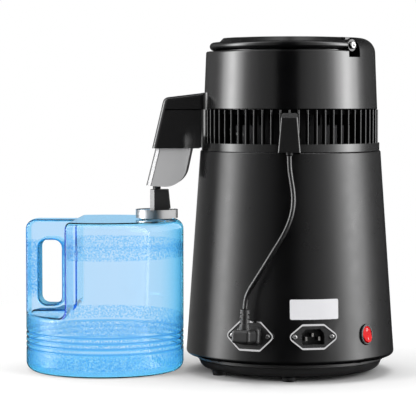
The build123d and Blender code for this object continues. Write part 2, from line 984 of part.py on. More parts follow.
def spout_skirt():
    """The spout block's lower half, open below for the nozzle and behind to the head."""
    skirt = half_below(spout_form(0), cover_low_z)
    skirt -= half_above(spout_form(0) - spout_form(seam_depth), cover_low_z - seam_height)
    skirt -= half_below(spout_form(spout_wall), cover_low_z + overrun)
    skirt += half_below(spout_webs(slat_r), cover_low_z)
    mouth_long = tongue_long + slip_gap * 2
    mouth_wide = tongue_wide + slip_gap * 2
    mouth_top = spout_low_z + spout_wall + overrun
    skirt -= Pos(-tongue_reach, 0, 0) * block(mouth_long, mouth_wide, spout_low_z - overrun, mouth_top)
    skirt -= post(ring_r - ring_wall / 2, ring_low_z - overrun, ring_top_z)
    return skirt - post(slat_r - slat_depth, ring_low_z - overrun, cover_low_z + overrun)


def vent_housing():
    """Louvred lower half of the head: a base ring, upright slats, a collar and the spout's skirt."""
    inner_r = ring_r - ring_wall
    housing = tube(ring_r, inner_r, ring_low_z, ring_top_z)
    housing += tube(inner_r + ring_wall / 2, inner_r - ring_ledge_width, dish_top_z, ring_top_z)
    housing += tube(collar_r, collar_r - collar_wall, collar_low_z, collar_top_z)
    slat_low = ring_top_z - ring_wall / 2
    slat = Pos(-slat_depth / 2, 0, 0) * block(slat_depth, slat_width, slat_low, cover_low_z)
    slat += post(slat_width / 2, slat_low, cover_low_z)
    spout_half_angle = degrees(atan2(spout_width / 2, slat_r))
    azimuths = [azimuth + slat_first_azimuth for azimuth in evenly(slat_count)]
    open_azimuths = [azimuth for azimuth in azimuths if abs(azimuth - 180) > spout_half_angle]
    housing = housing.fuse(*around(slat, slat_r - slat_width / 2, open_azimuths))
    lug = post(lug_r, collar_top_z - lug_height, collar_top_z)
    housing = housing.fuse(*around(lug, lug_circle_r, lug_azimuths))
    housing = housing + spout_skirt()
    cover_hole = post(cover_screw_r + slip_gap, collar_low_z - overrun, collar_top_z + overrun)
    dish_hole = post(dish_screw_r + slip_gap, dish_z, ring_top_z + overrun)
    for hole in around(cover_hole, lug_circle_r, lug_azimuths):
        housing -= hole
    for hole in around(dish_hole, dish_screw_circle_r, dish_screw_azimuths):
        housing -= hole
    return housing


def cover_screws():
    """Screws that pull the cover's posts down on the collar's lugs."""
    seat = collar_top_z - lug_height
    one = Pos(0, 0, seat) * screw(cover_screw_r, cover_screw_length, cover_screw_head_r, cover_screw_head)
    return around(one, lug_circle_r, lug_azimuths)


def carry_handle():
    """Half-round bar with an eye at each end for its pivot screw."""
    section = Plane.XZ * Pos(handle_r, handle_z) * Circle(handle_bar_r)
    bar = Rot(0, 0, handle_azimuth - 90) * revolve(section, Axis.Z, revolution_arc=180)
    eye_low = handle_r - handle_bar_r
    for side in (-1, 1):
        eye = Pos(eye_low, 0, handle_z) * Rot(0, 90, 0) * Cylinder(
            eye_r, handle_bar_r * 2, align=(Align.CENTER, Align.CENTER, Align.MIN)
        )
        bar += handle_frame(side) * eye
    for side in (-1, 1):
        hole = Pos(0, 0, handle_z) * Rot(0, 90, 0) * Cylinder(
            pivot_r + pin_gap, cover_low_r + overrun, align=(Align.CENTER, Align.CENTER, Align.MIN)
        )
        bar -= handle_frame(side) * hole
    return bar


def handle_screws():
    """Two bright pivot screws, one through each eye."""
    seat = handle_r + handle_bar_r + lift_gap
    length = seat - disc_r + pivot_root - slip_gap
    one = Pos(seat, 0, handle_z) * Rot(0, -90, 0) * screw(pivot_r, length, pivot_head_r, pivot_head)
    return [handle_frame(side) * one for side in (-1, 1)]


def nozzle_form(inset):
    """The silver nozzle's outline below the spout, thickened."""
    form = slab(
        [
            (-nozzle_top_reach + inset, spout_low_z, 0),
            (-nozzle_low_reach + inset, spout_low_z - nozzle_toe_drop + inset, 0),
            (-nozzle_heel_reach - inset, nozzle_low_z + inset, nozzle_heel_round - inset),
            (-nozzle_inner_reach - inset, spout_low_z, 0),
        ],
        nozzle_width - inset * 2,
    )
    sides = form.faces().filter_by(Axis.Y)
    front = [side.edges().sort_by(Axis.X)[0] for side in sides]
    return chamfer(front, nozzle_edge_bevel - inset)


def nozzle_cover():
    """Hollow silver nozzle with a tongue up into the spout and a shelf for the filter."""
    centre = Pos(-tongue_reach, 0, 0)
    tongue_low = spout_low_z - nozzle_wall
    tongue_top = spout_low_z + tongue_height
    cover = nozzle_form(0) - nozzle_form(nozzle_wall)
    lid = block(nozzle_low_reach, nozzle_width, tongue_low, spout_low_z)
    cover += nozzle_form(0) & (centre * lid)
    cover += centre * block(tongue_long, tongue_wide, tongue_low, tongue_top)
    cover -= centre * block(
        tongue_long - nozzle_wall * 2,
        tongue_wide - nozzle_wall * 2,
        tongue_low - overrun,
        tongue_top + overrun,
    )
    shelf_z = spout_low_z - shelf_drop
    sheet = block(nozzle_low_reach, nozzle_width, shelf_z - shelf_thickness, shelf_z)
    shelf = nozzle_form(nozzle_wall / 2) & (centre * sheet)
    shelf -= Pos(-filter_reach, 0, 0) * post(filter_hole_r, shelf_z - overrun, shelf_z + overrun)
    cover += shelf
    return cover - Pos(-tip_reach, 0, 0) * post(tip_r + slip_gap, tip_low_z - overrun, nozzle_low_z + overrun)


def carbon_filter():
    """Filter cup on the nozzle's shelf, under the outlet tube."""
    low = spout_low_z - shelf_drop
    cup = post(filter_r, low, low + filter_height)
    cup -= post(filter_r - filter_wall, low + filter_height - filter_wall * 2, low + filter_height + overrun)
    return Pos(-filter_reach, 0, 0) * cup


def outlet_tip():
    """Black drip tip through the nozzle's floor."""
    flange_z = spout_low_z - nozzle_toe_drop + nozzle_wall
    tip = post(tip_r, tip_low_z, flange_z) + post(tip_flange_r, flange_z, flange_z + tip_flange)
    tip -= post(tip_bore_r, tip_low_z - overrun, flange_z + tip_flange + overrun)
    return Pos(-tip_reach, 0, 0) * tip


def steam_dish():
    """Steel floor of the head: a flange, a short spigot into the tank and a hole for the riser."""
    spigot_r = tank_r - tank_wall - dish_spigot_gap
    spigot_low = shell_top_z - dish_spigot_drop
    dish = turned(
        [
            (0, dish_z, 0),
            (spigot_r - dish_thickness, dish_z, 0),
            (spigot_r - dish_thickness, spigot_low, 0),
            (spigot_r, spigot_low, 0),
            (spigot_r, dish_z, 0),
            (dish_r, dish_z, 0),
            (dish_r, dish_top_z, 0),
            (0, dish_top_z, 0),
        ]
    )
    dish -= Pos(0, riser_y, 0) * post(riser_bore_r, dish_z - overrun, dish_top_z + overrun)
    hole = post(dish_screw_r + slip_gap, dish_z - overrun, dish_top_z + overrun)
    for cut in around(hole, dish_screw_circle_r, dish_screw_azimuths):
        dish -= cut
    return dish


def seal_ring():
    """Silicone ring between the dish and the tank's rim."""
    inner_r = tank_r - tank_wall + seal_inner_gap
    return tube(inner_r + seal_width, inner_r, tank_rim_z, dish_z)


def dish_screws():
    """Screws up through the dish into the base ring's ledge."""
    one = Pos(0, 0, dish_z) * screw(dish_screw_r, dish_screw_length, dish_screw_head_r, dish_screw_head)
    return around(one, dish_screw_circle_r, dish_screw_azimuths)


def steam_riser():
    """Steam pipe up from the dish to a square head beside the coil's end."""
    low = coil_top_z - riser_head_width / 2
    high = coil_top_z + riser_head_width / 2
    riser = post(riser_r, dish_top_z, low) + block(riser_head_width, riser_head_width, low, high)
    riser -= post(riser_bore_r, dish_top_z - overrun, coil_top_z)
    sideways = Pos(0, 0, coil_top_z) * Rot(-90, 0, 0)
    riser -= sideways * post(coil_tube_r / 2, 0, riser_head_width)
    riser -= sideways * post(
        coil_tube_r + slip_gap, riser_head_width / 2 - riser_socket_depth - slip_gap, riser_head_width
    )
    return Pos(0, riser_y, 0) * riser


def coil_point(turn_share):
    """A point on the condenser's helix, counted in turns up from its lower end."""
    angle = radians(coil_low_azimuth) + 2 * pi * turn_share
    return Vector(coil_r * cos(angle), coil_r * sin(angle), coil_low_z + coil_pitch * turn_share)


def coil_path():
    """Lower end run, helix in quarter-turn arcs, and a half loop in to the steam riser."""
    steps = round(coil_top_turn * 4)
    step_share = coil_top_turn / steps
    low = coil_point(0)
    low_angle = radians(coil_low_azimuth)
    start = low + Vector(sin(low_angle), -cos(low_angle), 0) * coil_end_run
    edges = [Line(start, low)]
    for step in range(steps):
        edges.append(
            ThreePointArc(
                coil_point(step * step_share),
                coil_point((step + 1 / 2) * step_share),
                coil_point((step + 1) * step_share),
            )
        )
    top = coil_point(coil_top_turn)
    loop_top = Vector(top.X / 2, top.X / 2, top.Z)
    loop_end = Vector(0, 0, top.Z)
    edges.append(ThreePointArc(top, loop_top, loop_end))
    edges.append(Line(loop_end, Vector(0, -coil_end_run, top.Z)))
    return Wire([piece.edge() for piece in edges])


def coil_least_gap():
    """The least gap between the coil's turns, measured on points along its path."""
    path = coil_path()
    points = [path @ (step / coil_gap_points) for step in range(coil_gap_points + 1)]
    apart = round(coil_gap_points * pi * coil_r / path.length)
    least = min(
        (other - point).length
        for place, point in enumerate(points)
        for other in points[place + apart :]
    )
    return least - coil_tube_r * 2


def condenser_coil():
    """Steel condenser tube, wound as a helix round the fan's air."""
    path = coil_path()
    section = Plane(origin=path @ 0, z_dir=path % 0) * Circle(coil_tube_r)
    return sweep(section, path=path)


def cooling_fins():
    """Finned aluminium sleeve round the coil, on four legs."""
    inner_r = coil_r + coil_tube_r + lift_gap
    outer_r = inner_r + fin_sleeve_wall
    low = dish_top_z + fin_low_rise
    high = low + fin_height
    sleeve = tube(outer_r, inner_r, low, high)
    fin = Pos((fin_reach - fin_sleeve_wall / 2) / 2, 0, 0) * block(
        fin_reach + fin_sleeve_wall / 2, fin_thickness, low, high
    )
    sleeve = sleeve.fuse(*around(fin, outer_r, evenly(fin_count)))
    leg_face = outline(
        Plane.XZ,
        [
            (inner_r, dish_top_z, 0),
            (outer_r, dish_top_z, 0),
            (outer_r, low + fin_sleeve_wall, 0),
            (inner_r, low + fin_sleeve_wall, 0),
        ],
    )
    leg = revolve(leg_face, Axis.Z, revolution_arc=fin_leg_half_angle * 2)
    for azimuth in fin_leg_azimuths:
        sleeve += Rot(0, 0, azimuth - fin_leg_half_angle) * leg
    return sleeve


def outlet_tube():
    """Soft tube from the coil's lower end, out through the spout and down to the filter."""
    low_angle = radians(coil_low_azimuth)
    away = Vector(sin(low_angle), -cos(low_angle), 0)
    start = coil_point(0) + away * coil_end_run
    mouth_z = spout_low_z - shelf_drop + filter_height + lift_gap
    points = [
        start,
        start + away * (coil_tube_r * 4),
        Vector(-slat_r, -coil_tube_r / 2, start.Z),
        Vector(-filter_reach, 0, start.Z),
        Vector(-filter_reach, 0, mouth_z),
    ]
    path = FilletPolyline(*points, radius=coil_tube_r * 2)
    section = Plane(origin=path @ 0, z_dir=path % 0) * Circle(coil_tube_r)
    return sweep(section, path=path)


def bracket_spots():
    """Where the motor bracket's two screws stand along X."""
    reach = bracket_length / 2 - bracket_post_inset
    return (-reach, reach)


def motor_bracket():
    """Steel strap under the cover's two posts, which carries the motor."""
    strap = block(bracket_length, bracket_width, bracket_z, bracket_z + bracket_thickness)
    for x in bracket_spots():
        strap -= Pos(x, 0, 0) * post(bracket_screw_r + slip_gap, bracket_z - overrun, bracket_z + overrun)
    return strap


def bracket_screws():
    """Screws up through the strap into the cover's posts."""
    one = Pos(0, 0, bracket_z) * screw(
        bracket_screw_r, bracket_screw_length, bracket_screw_head_r, bracket_screw_head
    )
    return [Pos(x, 0, 0) * one for x in bracket_spots()]


def fan_motor():
    """Fan motor under the strap, bored for the rotor's shaft."""
    motor = post(motor_r, motor_low_z, bracket_z)
    motor = fillet(motor.edges().group_by(Axis.Z)[0], motor_gap)
    return motor - post(fan_shaft_r + pin_gap, motor_low_z - overrun, motor_low_z + motor_bore_depth)


def fan_rotor():
    """Five-bladed fan with its shaft."""
    hub = post(fan_hub_r, fan_low_z, fan_low_z + fan_hub_height)
    hub = fillet(hub.edges().group_by(Axis.Z)[0], motor_gap)
    middle = fan_low_z + fan_hub_height / 2
    blade_face = outline(
        Plane.XY,
        [
            (fan_hub_r / 2, -fan_hub_r / 2, 0),
            (fan_r, -fan_blade_chord / 2, fan_hub_r / 2),
            (fan_r, fan_blade_chord / 2, fan_hub_r / 2),
            (fan_hub_r / 2, fan_hub_r / 2, 0),
        ],
    )
    blade = extrude(blade_face, amount=fan_blade_thickness / 2, both=True)
    blade = Pos(0, 0, middle) * Rot(fan_blade_pitch, 0, 0) * blade
    rotor = hub.fuse(*[Rot(0, 0, turn) * blade for turn in evenly(fan_blade_count)])
    top = fan_low_z + fan_hub_height
    return rotor + post(fan_shaft_r, top - motor_gap, top + fan_shaft_length)


# Lead between head and boiler
def lead_cover():
    """Tapered hood on the vent housing where the lead comes out, open at the back."""
    low = ring_low_z
    high = low + lead_cover_height

    def hood(inset):
        half_top = lead_cover_top_width / 2 - inset
        half_low = lead_cover_low_width / 2 - inset
        reach = lead_cover_reach - inset
        front = outline(
            Plane.XZ,
            [
                (-half_low, low + inset, 0),
                (half_low, low + inset, 0),
                (half_top, high - inset, lead_cover_round),
                (-half_top, high - inset, lead_cover_round),
            ],
        )
        side = outline(
            Plane.YZ,
            [
                (0, low + inset, 0),
                (-reach, low + inset, 0),
                (-reach, high - inset - lead_cover_bevel, 0),
                (lead_cover_bevel - reach, high - inset, 0),
                (0, high - inset, 0),
            ],
        )
        return extrude(front, amount=reach) & extrude(side, amount=half_low, both=True)

    outside = hood(0)
    face = outside.faces().sort_by(Axis.Y)[0]
    flanks = [edge for edge in face.edges() if abs(edge.center().X) > lead_cover_round]
    outside = fillet(flanks, lead_cover_edge_round)
    shape = outside - hood(lead_cover_wall)
    shape += outside & (Pos(0, -gland_reach, 0) * block(
        lead_cover_low_width, lead_cover_low_width, low, low + lead_cover_wall
    ))
    shape -= post(ring_r + slip_gap, low - overrun, high + overrun)
    return shape - Pos(0, -gland_reach, 0) * post(gland_r + slip_gap, low - overrun, low + lead_cover_wall)


def lead_gland():
    """Rubber bush in the hood's floor."""
    low = ring_low_z - gland_drop
    seat = ring_low_z + lead_cover_wall
    bush = post(gland_r, low, seat) + post(gland_flange_r, seat, seat + gland_flange)
    return Pos(0, -gland_reach, 0) * bush


def lead_radii():
    """The largest bend that each corner of the lead's route allows."""
    points = [Vector(*point) for point in lead_route]
    radii = []
    for before, here, after in zip(points, points[1:], points[2:]):
        half_turn = radians((here - before).get_angle(after - here)) / 2
        shorter = min((here - before).length, (after - here).length)
        radii.append(lead_bend_share * shorter / tan(half_turn))
    return radii


def lead_path():
    """The lead's centre line: straight runs joined by tangent arcs."""
    return FilletPolyline(*lead_route, radius=lead_radii())


def head_lead():
    """Round black lead from the head to its plug."""
    path = lead_path()
    section = Plane(origin=path @ 0, z_dir=path % 0) * Circle(lead_r)
    return sweep(section, path=path)


def plug_block(width, height, corner, reach):
    """A block with rounded corners and outer edge, just clear of the socket's flange."""
    half = width / 2
    rise = height / 2
    face = outline(
        Plane.XY,
        [(x, y, corner) for x, y in ((-half, -rise), (half, -rise), (half, rise), (-half, rise))],
    )
    low = flange_rise + plug_slot_gap
    form = extrude(Pos(0, 0, low) * face, amount=reach - low)
    return fillet(form.edges().group_by(Axis.Z)[-1], corner - plug_slot_gap)


def lead_plug():
    """Right-angled plug: a nose in the socket, a head and body outside it and a boss for the lead."""
    plane = on_shell(lead_azimuth, socket_z)
    nose = extrude(
        Pos(0, 0, flange_rise - plug_nose_depth) * connector_face(plug_nose_gap),
        amount=plug_nose_depth + plug_slot_gap,
    )
    for x, y in connector_spots():
        slot = block(
            blade_thickness + plug_slot_gap * 2,
            blade_height + plug_slot_gap * 2,
            flange_rise - plug_nose_depth - overrun,
            flange_rise,
        )
        nose -= Pos(x, y, 0) * slot
    head = plug_block(plug_head_width, plug_head_height, plug_head_round, plug_head_reach)
    body = plug_block(plug_width, plug_height, plug_round, plug_reach)
    boss = Pos(0, 0, plug_lead_reach) * Rot(-90, 0, 0) * Cylinder(
        plug_boss_r, plug_boss_rise, align=(Align.CENTER, Align.CENTER, Align.MIN)
    )
    return plane * (nose + head + body + boss)


def lead_strain_relief():
    """Ribbed tapered sleeve between the plug's boss and the lead."""
    plane = on_shell(lead_azimuth, socket_z)
    sleeve = turned(
        [
            (0, 0, 0),
            (relief_low_r, 0, 0),
            (relief_top_r, relief_length, 0),
            (0, relief_length, 0),
        ]
    )
    pitch = relief_length / (relief_rib_count + 1)
    for rib in range(relief_rib_count):
        height = pitch * (rib + 1)
        radius = relief_low_r + (relief_top_r - relief_low_r) * height / relief_length
        sleeve -= tube(
            relief_low_r + overrun,
            radius - relief_rib_depth,
            height - relief_rib_width / 2,
            height + relief_rib_width / 2,
        )
    return plane * (Pos(0, plug_boss_rise, plug_lead_reach) * Rot(-90, 0, 0) * sleeve)


# Jug, modelled on its own axis with the grip towards -X
def grip_edges(form, half_grip):
    """The edges of the grip's two flat sides."""
    sides = form.faces().filter_by(Axis.Y)
    grip_sides = [side for side in sides if abs(abs(side.center().Y) - half_grip) < slip_gap]
    return [edge for side in grip_sides for edge in side.edges()]


def bay_edges(form, half_grip, inset):
    """The bay's outer edges: down its wall, round its corner, along its floor and across its top."""
    rim = form.edges().filter_by(
        lambda edge: abs(edge.center().Y) > half_grip + slip_gap
        and edge.center().X < inset - jug_waist_reach + slip_gap
        and edge.center().Z > jug_bay_floor - inset - slip_gap
    )
    top = jug_height - inset
    bends = [edge for edge in rim.filter_by(Axis.Y) if edge.center().Z < top - slip_gap]
    return [edge for edge in rim if edge not in bends]


def jug_form(inset):
    """The jug's closed outside, or its inside when inset by the wall."""
    radius = jug_r - inset
    form = turned(
        [
            (0, inset, 0),
            (radius, inset, jug_base_round - inset),
            (radius, jug_height - inset, jug_top_round - inset),
            (0, jug_height - inset, 0),
        ]
    )
    far = -jug_r - overrun
    waist = -jug_waist_reach + inset
    floor = jug_bay_floor - inset
    bay_face = outline(
        Plane.XZ,
        [
            (far, floor, 0),
            (waist, floor, jug_bay_round),
            (waist, jug_height + overrun, 0),
            (far, jug_height + overrun, 0),
        ],
    )
    half_grip = grip_width / 2 - inset
    bay = extrude(bay_face, amount=jug_r)
    form = form - Pos(0, -half_grip, 0) * bay
    form = form - mirror(Pos(0, -half_grip, 0) * bay, about=Plane.XZ)
    hole_round = grip_hole_round + inset
    far = -grip_hole_far - inset
    near = -grip_hole_near + inset
    low = grip_hole_low - inset
    high = grip_hole_high + inset
    form -= slab(
        [(far, low, hole_round), (near, low, hole_round), (near, high, hole_round), (far, high, hole_round)],
        jug_r * 2,
    )
    rim = [
        edge
        for edge in grip_edges(form, half_grip)
        if edge.center().X < far - slip_gap and edge.center().Z > floor + slip_gap
    ]
    form = fillet(rim + bay_edges(form, half_grip, inset), grip_round - inset)
    hole = [
        edge
        for edge in grip_edges(form, half_grip)
        if far - slip_gap < edge.center().X < near + slip_gap
        and low - slip_gap < edge.center().Z < high + slip_gap
    ]
    return fillet(hole, grip_round - inset)


def jug_bottle():
    """Blow-moulded bottle with a hollow grip, ring grooves and an offset neck."""
    outside = jug_form(0)
    for height in groove_heights:
        outside -= Pos(0, 0, height) * Torus(jug_r + jug_groove_r - jug_groove_depth, jug_groove_r)
    neck = Pos(neck_offset, 0, 0) * post(neck_r, jug_height - jug_wall, neck_top_z)
    bore_low = jug_height - jug_wall - overrun
    bore = Pos(neck_offset, 0, 0) * post(neck_r - neck_wall, bore_low, neck_top_z + overrun)
    return Pos(jug_x, 0, 0) * (outside + neck - jug_form(jug_wall) - bore)


def stem_form():
    """Tapered pillar on the cap, with its outer edges bevelled."""
    low = cap_top_z - cap_top / 2
    side = slab(
        [
            (-stem_outer_reach, low, 0),
            (stem_low_reach, low, 0),
            (stem_top_reach, stem_top_z, 0),
            (-stem_outer_reach, stem_top_z, 0),
        ],
        stem_width,
    )
    half = stem_width / 2
    plan = outline(
        Plane.XY,
        [
            (stem_low_reach, -half, 0),
            (stem_low_reach, half, 0),
            (stem_bevel_long - stem_outer_reach, half, 0),
            (-stem_outer_reach, half - stem_bevel_wide, 0),
            (-stem_outer_reach, stem_bevel_wide - half, 0),
            (stem_bevel_long - stem_outer_reach, -half, 0),
        ],
    )
    return side & extrude(Pos(0, 0, low) * plan, amount=stem_top_z - low)


def jug_cap():
    """Black cap over the neck with a bored pillar up to the drip tip."""
    cap = post(cap_r, cap_low_z, cap_top_z)
    cap -= post(neck_r + cap_neck_gap, cap_low_z - overrun, cap_top_z - cap_top)
    cap += stem_form()
    cap -= post(stem_bore_r, cap_low_z - overrun, stem_top_z + overrun)
    return Pos(-tip_reach, 0, 0) * cap


def cap_band():
    """Bright band pressed round the cap."""
    outer_r = cap_r + cap_band_wall
    return Pos(-tip_reach, 0, 0) * tube(outer_r, cap_r, cap_low_z, cap_low_z + cap_band_height)


def cap_gasket():
    """Seal between the neck's mouth and the cap."""
    high = cap_top_z - cap_top
    return Pos(-tip_reach, 0, 0) * tube(neck_r, neck_r - neck_wall, high - gasket_thickness, high)


nodes = {
    "body_shell": body_shell,
    "boiling_tank": boiling_tank,
    "heater_plate": heater_plate,
    "heater_terminals": heater_terminals,
    "heater_clamp": heater_clamp,
    "thermostats": thermostats,
    "base_pan": base_pan,
    "pan_screws": pan_screws,
    "feet": feet,
    "foot_screws": foot_screws,
    "power_inlet": lambda: socket_body(inlet_azimuth, inlet_trim_height),
    "power_inlet_trim": lambda: socket_trim(inlet_azimuth, inlet_trim_height),
    "inlet_pins": lambda: socket_blades(inlet_azimuth),
    "lead_socket": lambda: socket_body(lead_azimuth, lead_trim_height),
    "lead_socket_trim": lambda: socket_trim(lead_azimuth, lead_trim_height),
    "lead_pins": lambda: socket_blades(lead_azimuth),
    "socket_screws": socket_screws,
    "switch_bezel": switch_bezel,
    "switch_terminals": switch_terminals,
    "switch_rocker": switch_rocker,
    "head_cover": head_cover,
    "vent_housing": vent_housing,
    "cover_screws": cover_screws,
    "carry_handle": carry_handle,
    "handle_screws": handle_screws,
    "nozzle_cover": nozzle_cover,
    "carbon_filter": carbon_filter,
    "outlet_tip": outlet_tip,
    "steam_dish": steam_dish,
    "seal_ring": seal_ring,
    "dish_screws": dish_screws,
    "steam_riser": steam_riser,
    "condenser_coil": condenser_coil,
    "cooling_fins": cooling_fins,
    "outlet_tube": outlet_tube,
    "motor_bracket": motor_bracket,
    "bracket_screws": bracket_screws,
    "fan_motor": fan_motor,
    "fan_rotor": fan_rotor,
    "lead_cover": lead_cover,
    "lead_gland": lead_gland,
    "head_lead": head_lead,
    "lead_plug": lead_plug,
    "lead_strain_relief": lead_strain_relief,
    "jug_bottle": jug_bottle,
    "jug_cap": jug_cap,
    "cap_band": cap_band,
    "cap_gasket": cap_gasket,
}

os.makedirs("parts", exist_ok=True)
for name, make in nodes.items():
    made = make()
    solids = made if isinstance(made, list) else [made]
    placed = [Pos(row_x, 0, 0) * solid for solid in solids]
    shape = placed[0] if len(placed) == 1 else Compound(children=placed)
    export_step(shape, f"parts/{name}.step")

lead = lead_path()
print("lead bend radii", [round(radius, 1) for radius in lead_radii()])
print("lead length", round(lead.length, 1), "section times length", round(pi * lead_r**2 * lead.length, 1))
print("coil least gap between turns", round(coil_least_gap(), 2))
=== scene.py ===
"""Looks for a countertop water distiller: boiler, louvred head, plug-in lead and water jug."""

from math import atan2, cos, pi, radians, sin

import bmesh
import bpy
from mathutils import Matrix, Vector


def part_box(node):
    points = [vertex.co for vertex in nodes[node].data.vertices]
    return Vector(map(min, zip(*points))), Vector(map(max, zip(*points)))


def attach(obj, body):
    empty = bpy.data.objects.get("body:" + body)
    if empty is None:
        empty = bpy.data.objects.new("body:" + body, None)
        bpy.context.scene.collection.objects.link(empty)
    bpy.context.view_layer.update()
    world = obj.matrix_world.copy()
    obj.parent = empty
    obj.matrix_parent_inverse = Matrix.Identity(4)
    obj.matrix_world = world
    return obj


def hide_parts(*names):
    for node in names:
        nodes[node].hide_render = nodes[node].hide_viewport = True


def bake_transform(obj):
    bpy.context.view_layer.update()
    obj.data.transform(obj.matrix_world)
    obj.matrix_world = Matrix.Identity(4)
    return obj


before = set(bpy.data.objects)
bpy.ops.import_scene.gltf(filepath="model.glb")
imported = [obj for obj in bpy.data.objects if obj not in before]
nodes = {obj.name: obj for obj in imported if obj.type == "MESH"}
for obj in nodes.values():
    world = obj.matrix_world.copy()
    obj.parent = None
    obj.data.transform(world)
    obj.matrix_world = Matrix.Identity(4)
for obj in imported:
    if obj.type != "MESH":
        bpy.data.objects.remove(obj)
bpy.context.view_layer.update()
scene = bpy.context.scene

# Lengths are in metres and angles in degrees
MM = 0.001

# Camera, from the boiler's axis at counter height
CAMERA_PLACE = (0.0191, -2.1014, 0.2993)
CAMERA_TURN = -3.0
CAMERA_TILT = -3.25
CAMERA_FOCAL_PIXELS = 1900.0
CAMERA_REACH = 50.0
PHOTO_PIXELS = 416.0

# How the shell's outer rings are told from its other corners
SHELL_RIM_DEPTH = 2.0 * MM
SHELL_RING_SLACK = 0.05 * MM
SHELL_SLOPE_STEP = 10.0 * MM

# The lead's route from the gland to the strain relief, from the boiler's axis
LEAD_ROUTE = [
    (0.0000, -0.1055, 0.2417),
    (0.0000, -0.1055, 0.2295),
    (0.0020, -0.1069, 0.2160),
    (0.0044, -0.1092, 0.2020),
    (0.0046, -0.1114, 0.1885),
    (0.0014, -0.1140, 0.1735),
    (-0.0058, -0.1165, 0.1576),
    (-0.0150, -0.1183, 0.1430),
    (-0.0258, -0.1194, 0.1252),
    (-0.0364, -0.1194, 0.1084),
    (-0.0430, -0.1189, 0.0974),
    (-0.04562, -0.11881, 0.0882),
    (-0.04582, -0.11937, 0.07964),
]
LEAD_RADIUS = 2.6 * MM
LEAD_SIDES = 20
LEAD_STEPS = 12

# Blank sticker on the shell, above the power inlet
STICKER_AZIMUTH = -75.8
STICKER_HEIGHT = 79.2 * MM
STICKER_WIDTH = 53.0 * MM
STICKER_TALL = 21.2 * MM
STICKER_CORNER = 1.6 * MM
STICKER_CORNER_STEPS = 6
STICKER_COLUMNS = 24
STICKER_THICKNESS = 0.12 * MM

# Dark crosses painted on the screw heads that show, as the shade in their recessed crosses: the socket
# screws' two sides have a turn each
SOCKET_AZIMUTHS = (-77.0, -111.0)
SOCKET_HEIGHT = 50.5 * MM
SOCKET_SCREW_SPREAD = 20.0 * MM
SOCKET_SCREW_TOP = 2.8 * MM
SOCKET_SCREW_TURNS = {-1: 15.0, 1: 65.0}
SOCKET_CROSS = 1.25 * MM
HANDLE_SCREW_AZIMUTHS = (-42.0, 138.0)
HANDLE_SCREW_HEIGHT = 357.9 * MM
HANDLE_CROSS = 2.0 * MM
CROSS_WIDTH_SHARE = 0.3
MARK_LIFT = 0.05 * MM

# Dark sheet below the condenser's fins, put there as painted shade
SHADE_SHEET_RADIUS = 73.4 * MM
SHADE_SHEET_RISE = 23.0 * MM
SHADE_SHEET_AZIMUTHS = (-150.0, 130.0)
SHADE_SHEET_STEPS = 60

# The nozzle's sloping front, from its top to its toe, the bevels beside it, and the dark reflections
# painted along the bevels' edges
NOZZLE_TOP_REACH = 148.0 * MM
NOZZLE_LOW_REACH = 158.3 * MM
NOZZLE_TOE_DROP = 41.0 * MM
NOZZLE_BEVEL = 5.0 * MM
NOZZLE_REFLECTION_LINE = 0.9 * MM
NOZZLE_REFLECTION_SOFT = 0.2 * MM

# Where the spout starts, and with it the painted lighter black, the seam above it, and the inner side of
# the vent ring
SPOUT_REACH = 97.0 * MM
SPOUT_SOFT = 2.0 * MM
HEAD_SEAM_HALF = 0.7 * MM
HEAD_SEAM_SOFT = 0.2 * MM
VENT_INNER_REACH = 94.3 * MM
VENT_INNER_SOFT = 0.5 * MM
VENT_INNER_HEIGHT = 296.0 * MM
VENT_INNER_TOP_SOFT = 1.0 * MM

# Ring and bar on the rocker, measured from its pivot
SWITCH_AZIMUTH = -43.5
SWITCH_HEIGHT = 49.5 * MM
ROCKER_PIVOT_RISE = 0.4 * MM
ROCKER_CROWN = 1.4 * MM
ROCKER_TILT = 9.0
RING_PLACE = 4.6 * MM
RING_RADII = (1.0 * MM, 1.4 * MM)
RING_SIDES = 24
BAR_HALF = 0.25 * MM
BAR_LOW = -6.2 * MM
BAR_HIGH = -3.4 * MM

# The jug's stippled bands, grooves and bays, and the painted highlight lines under the grooves, as heights
# above the counter and distances from its axis
STIPPLE_BANDS = [(8.0 * MM, 24.0 * MM), (47.0 * MM, 62.0 * MM), (127.0 * MM, 143.0 * MM)]
STIPPLE_SOFT = 0.6 * MM
STIPPLE_DEPTH = 0.12 * MM
GRIP_STIPPLE = (82.0 * MM, 134.0 * MM)
GRIP_STIPPLE_SOFT = 3.0 * MM
GRIP_STIPPLE_REACH = 70.0 * MM
GROOVE_HEIGHTS = [26.0 * MM, 32.0 * MM, 38.0 * MM, 44.0 * MM]
GROOVE_HALF = 1.2 * MM
GROOVE_SOFT = 0.4 * MM
HIGHLIGHT_LINE_DROP = 3.0 * MM
HIGHLIGHT_LINE_HALF = 0.9 * MM
JUG_FOOT_HEIGHT = 46.0 * MM
JUG_SOFT = 1.0 * MM
BAY_REACH = 32.0 * MM
BAY_FLOOR = 60.0 * MM
BAY_SIDE = 19.0 * MM


# Places read from the frame
def middle(node):
    """The middle of a node's box."""
    low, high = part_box(node)
    return (low + high) / 2


boiler_axis = middle("boiling_tank")
jug_axis = middle("jug_bottle")


def shell_radius_at(height):
    """The shell's outer radius at a height, from its lowest and highest rings."""
    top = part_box("body_shell")[1].z
    corners = [point.co for point in nodes["body_shell"].data.vertices]
    rim = [Vector((c.x - boiler_axis.x, c.y, c.z)) for c in corners]
    top_r = max(c.xy.length for c in rim if c.z > top - SHELL_RIM_DEPTH)
    low_r = max(c.xy.length for c in rim)
    low_z = min(c.z for c in rim if c.xy.length > low_r - SHELL_RING_SLACK)
    top_z = max(c.z for c in rim if c.xy.length > top_r - SHELL_RING_SLACK)
    return low_r + (top_r - low_r) * (height - low_z) / (top_z - low_z)


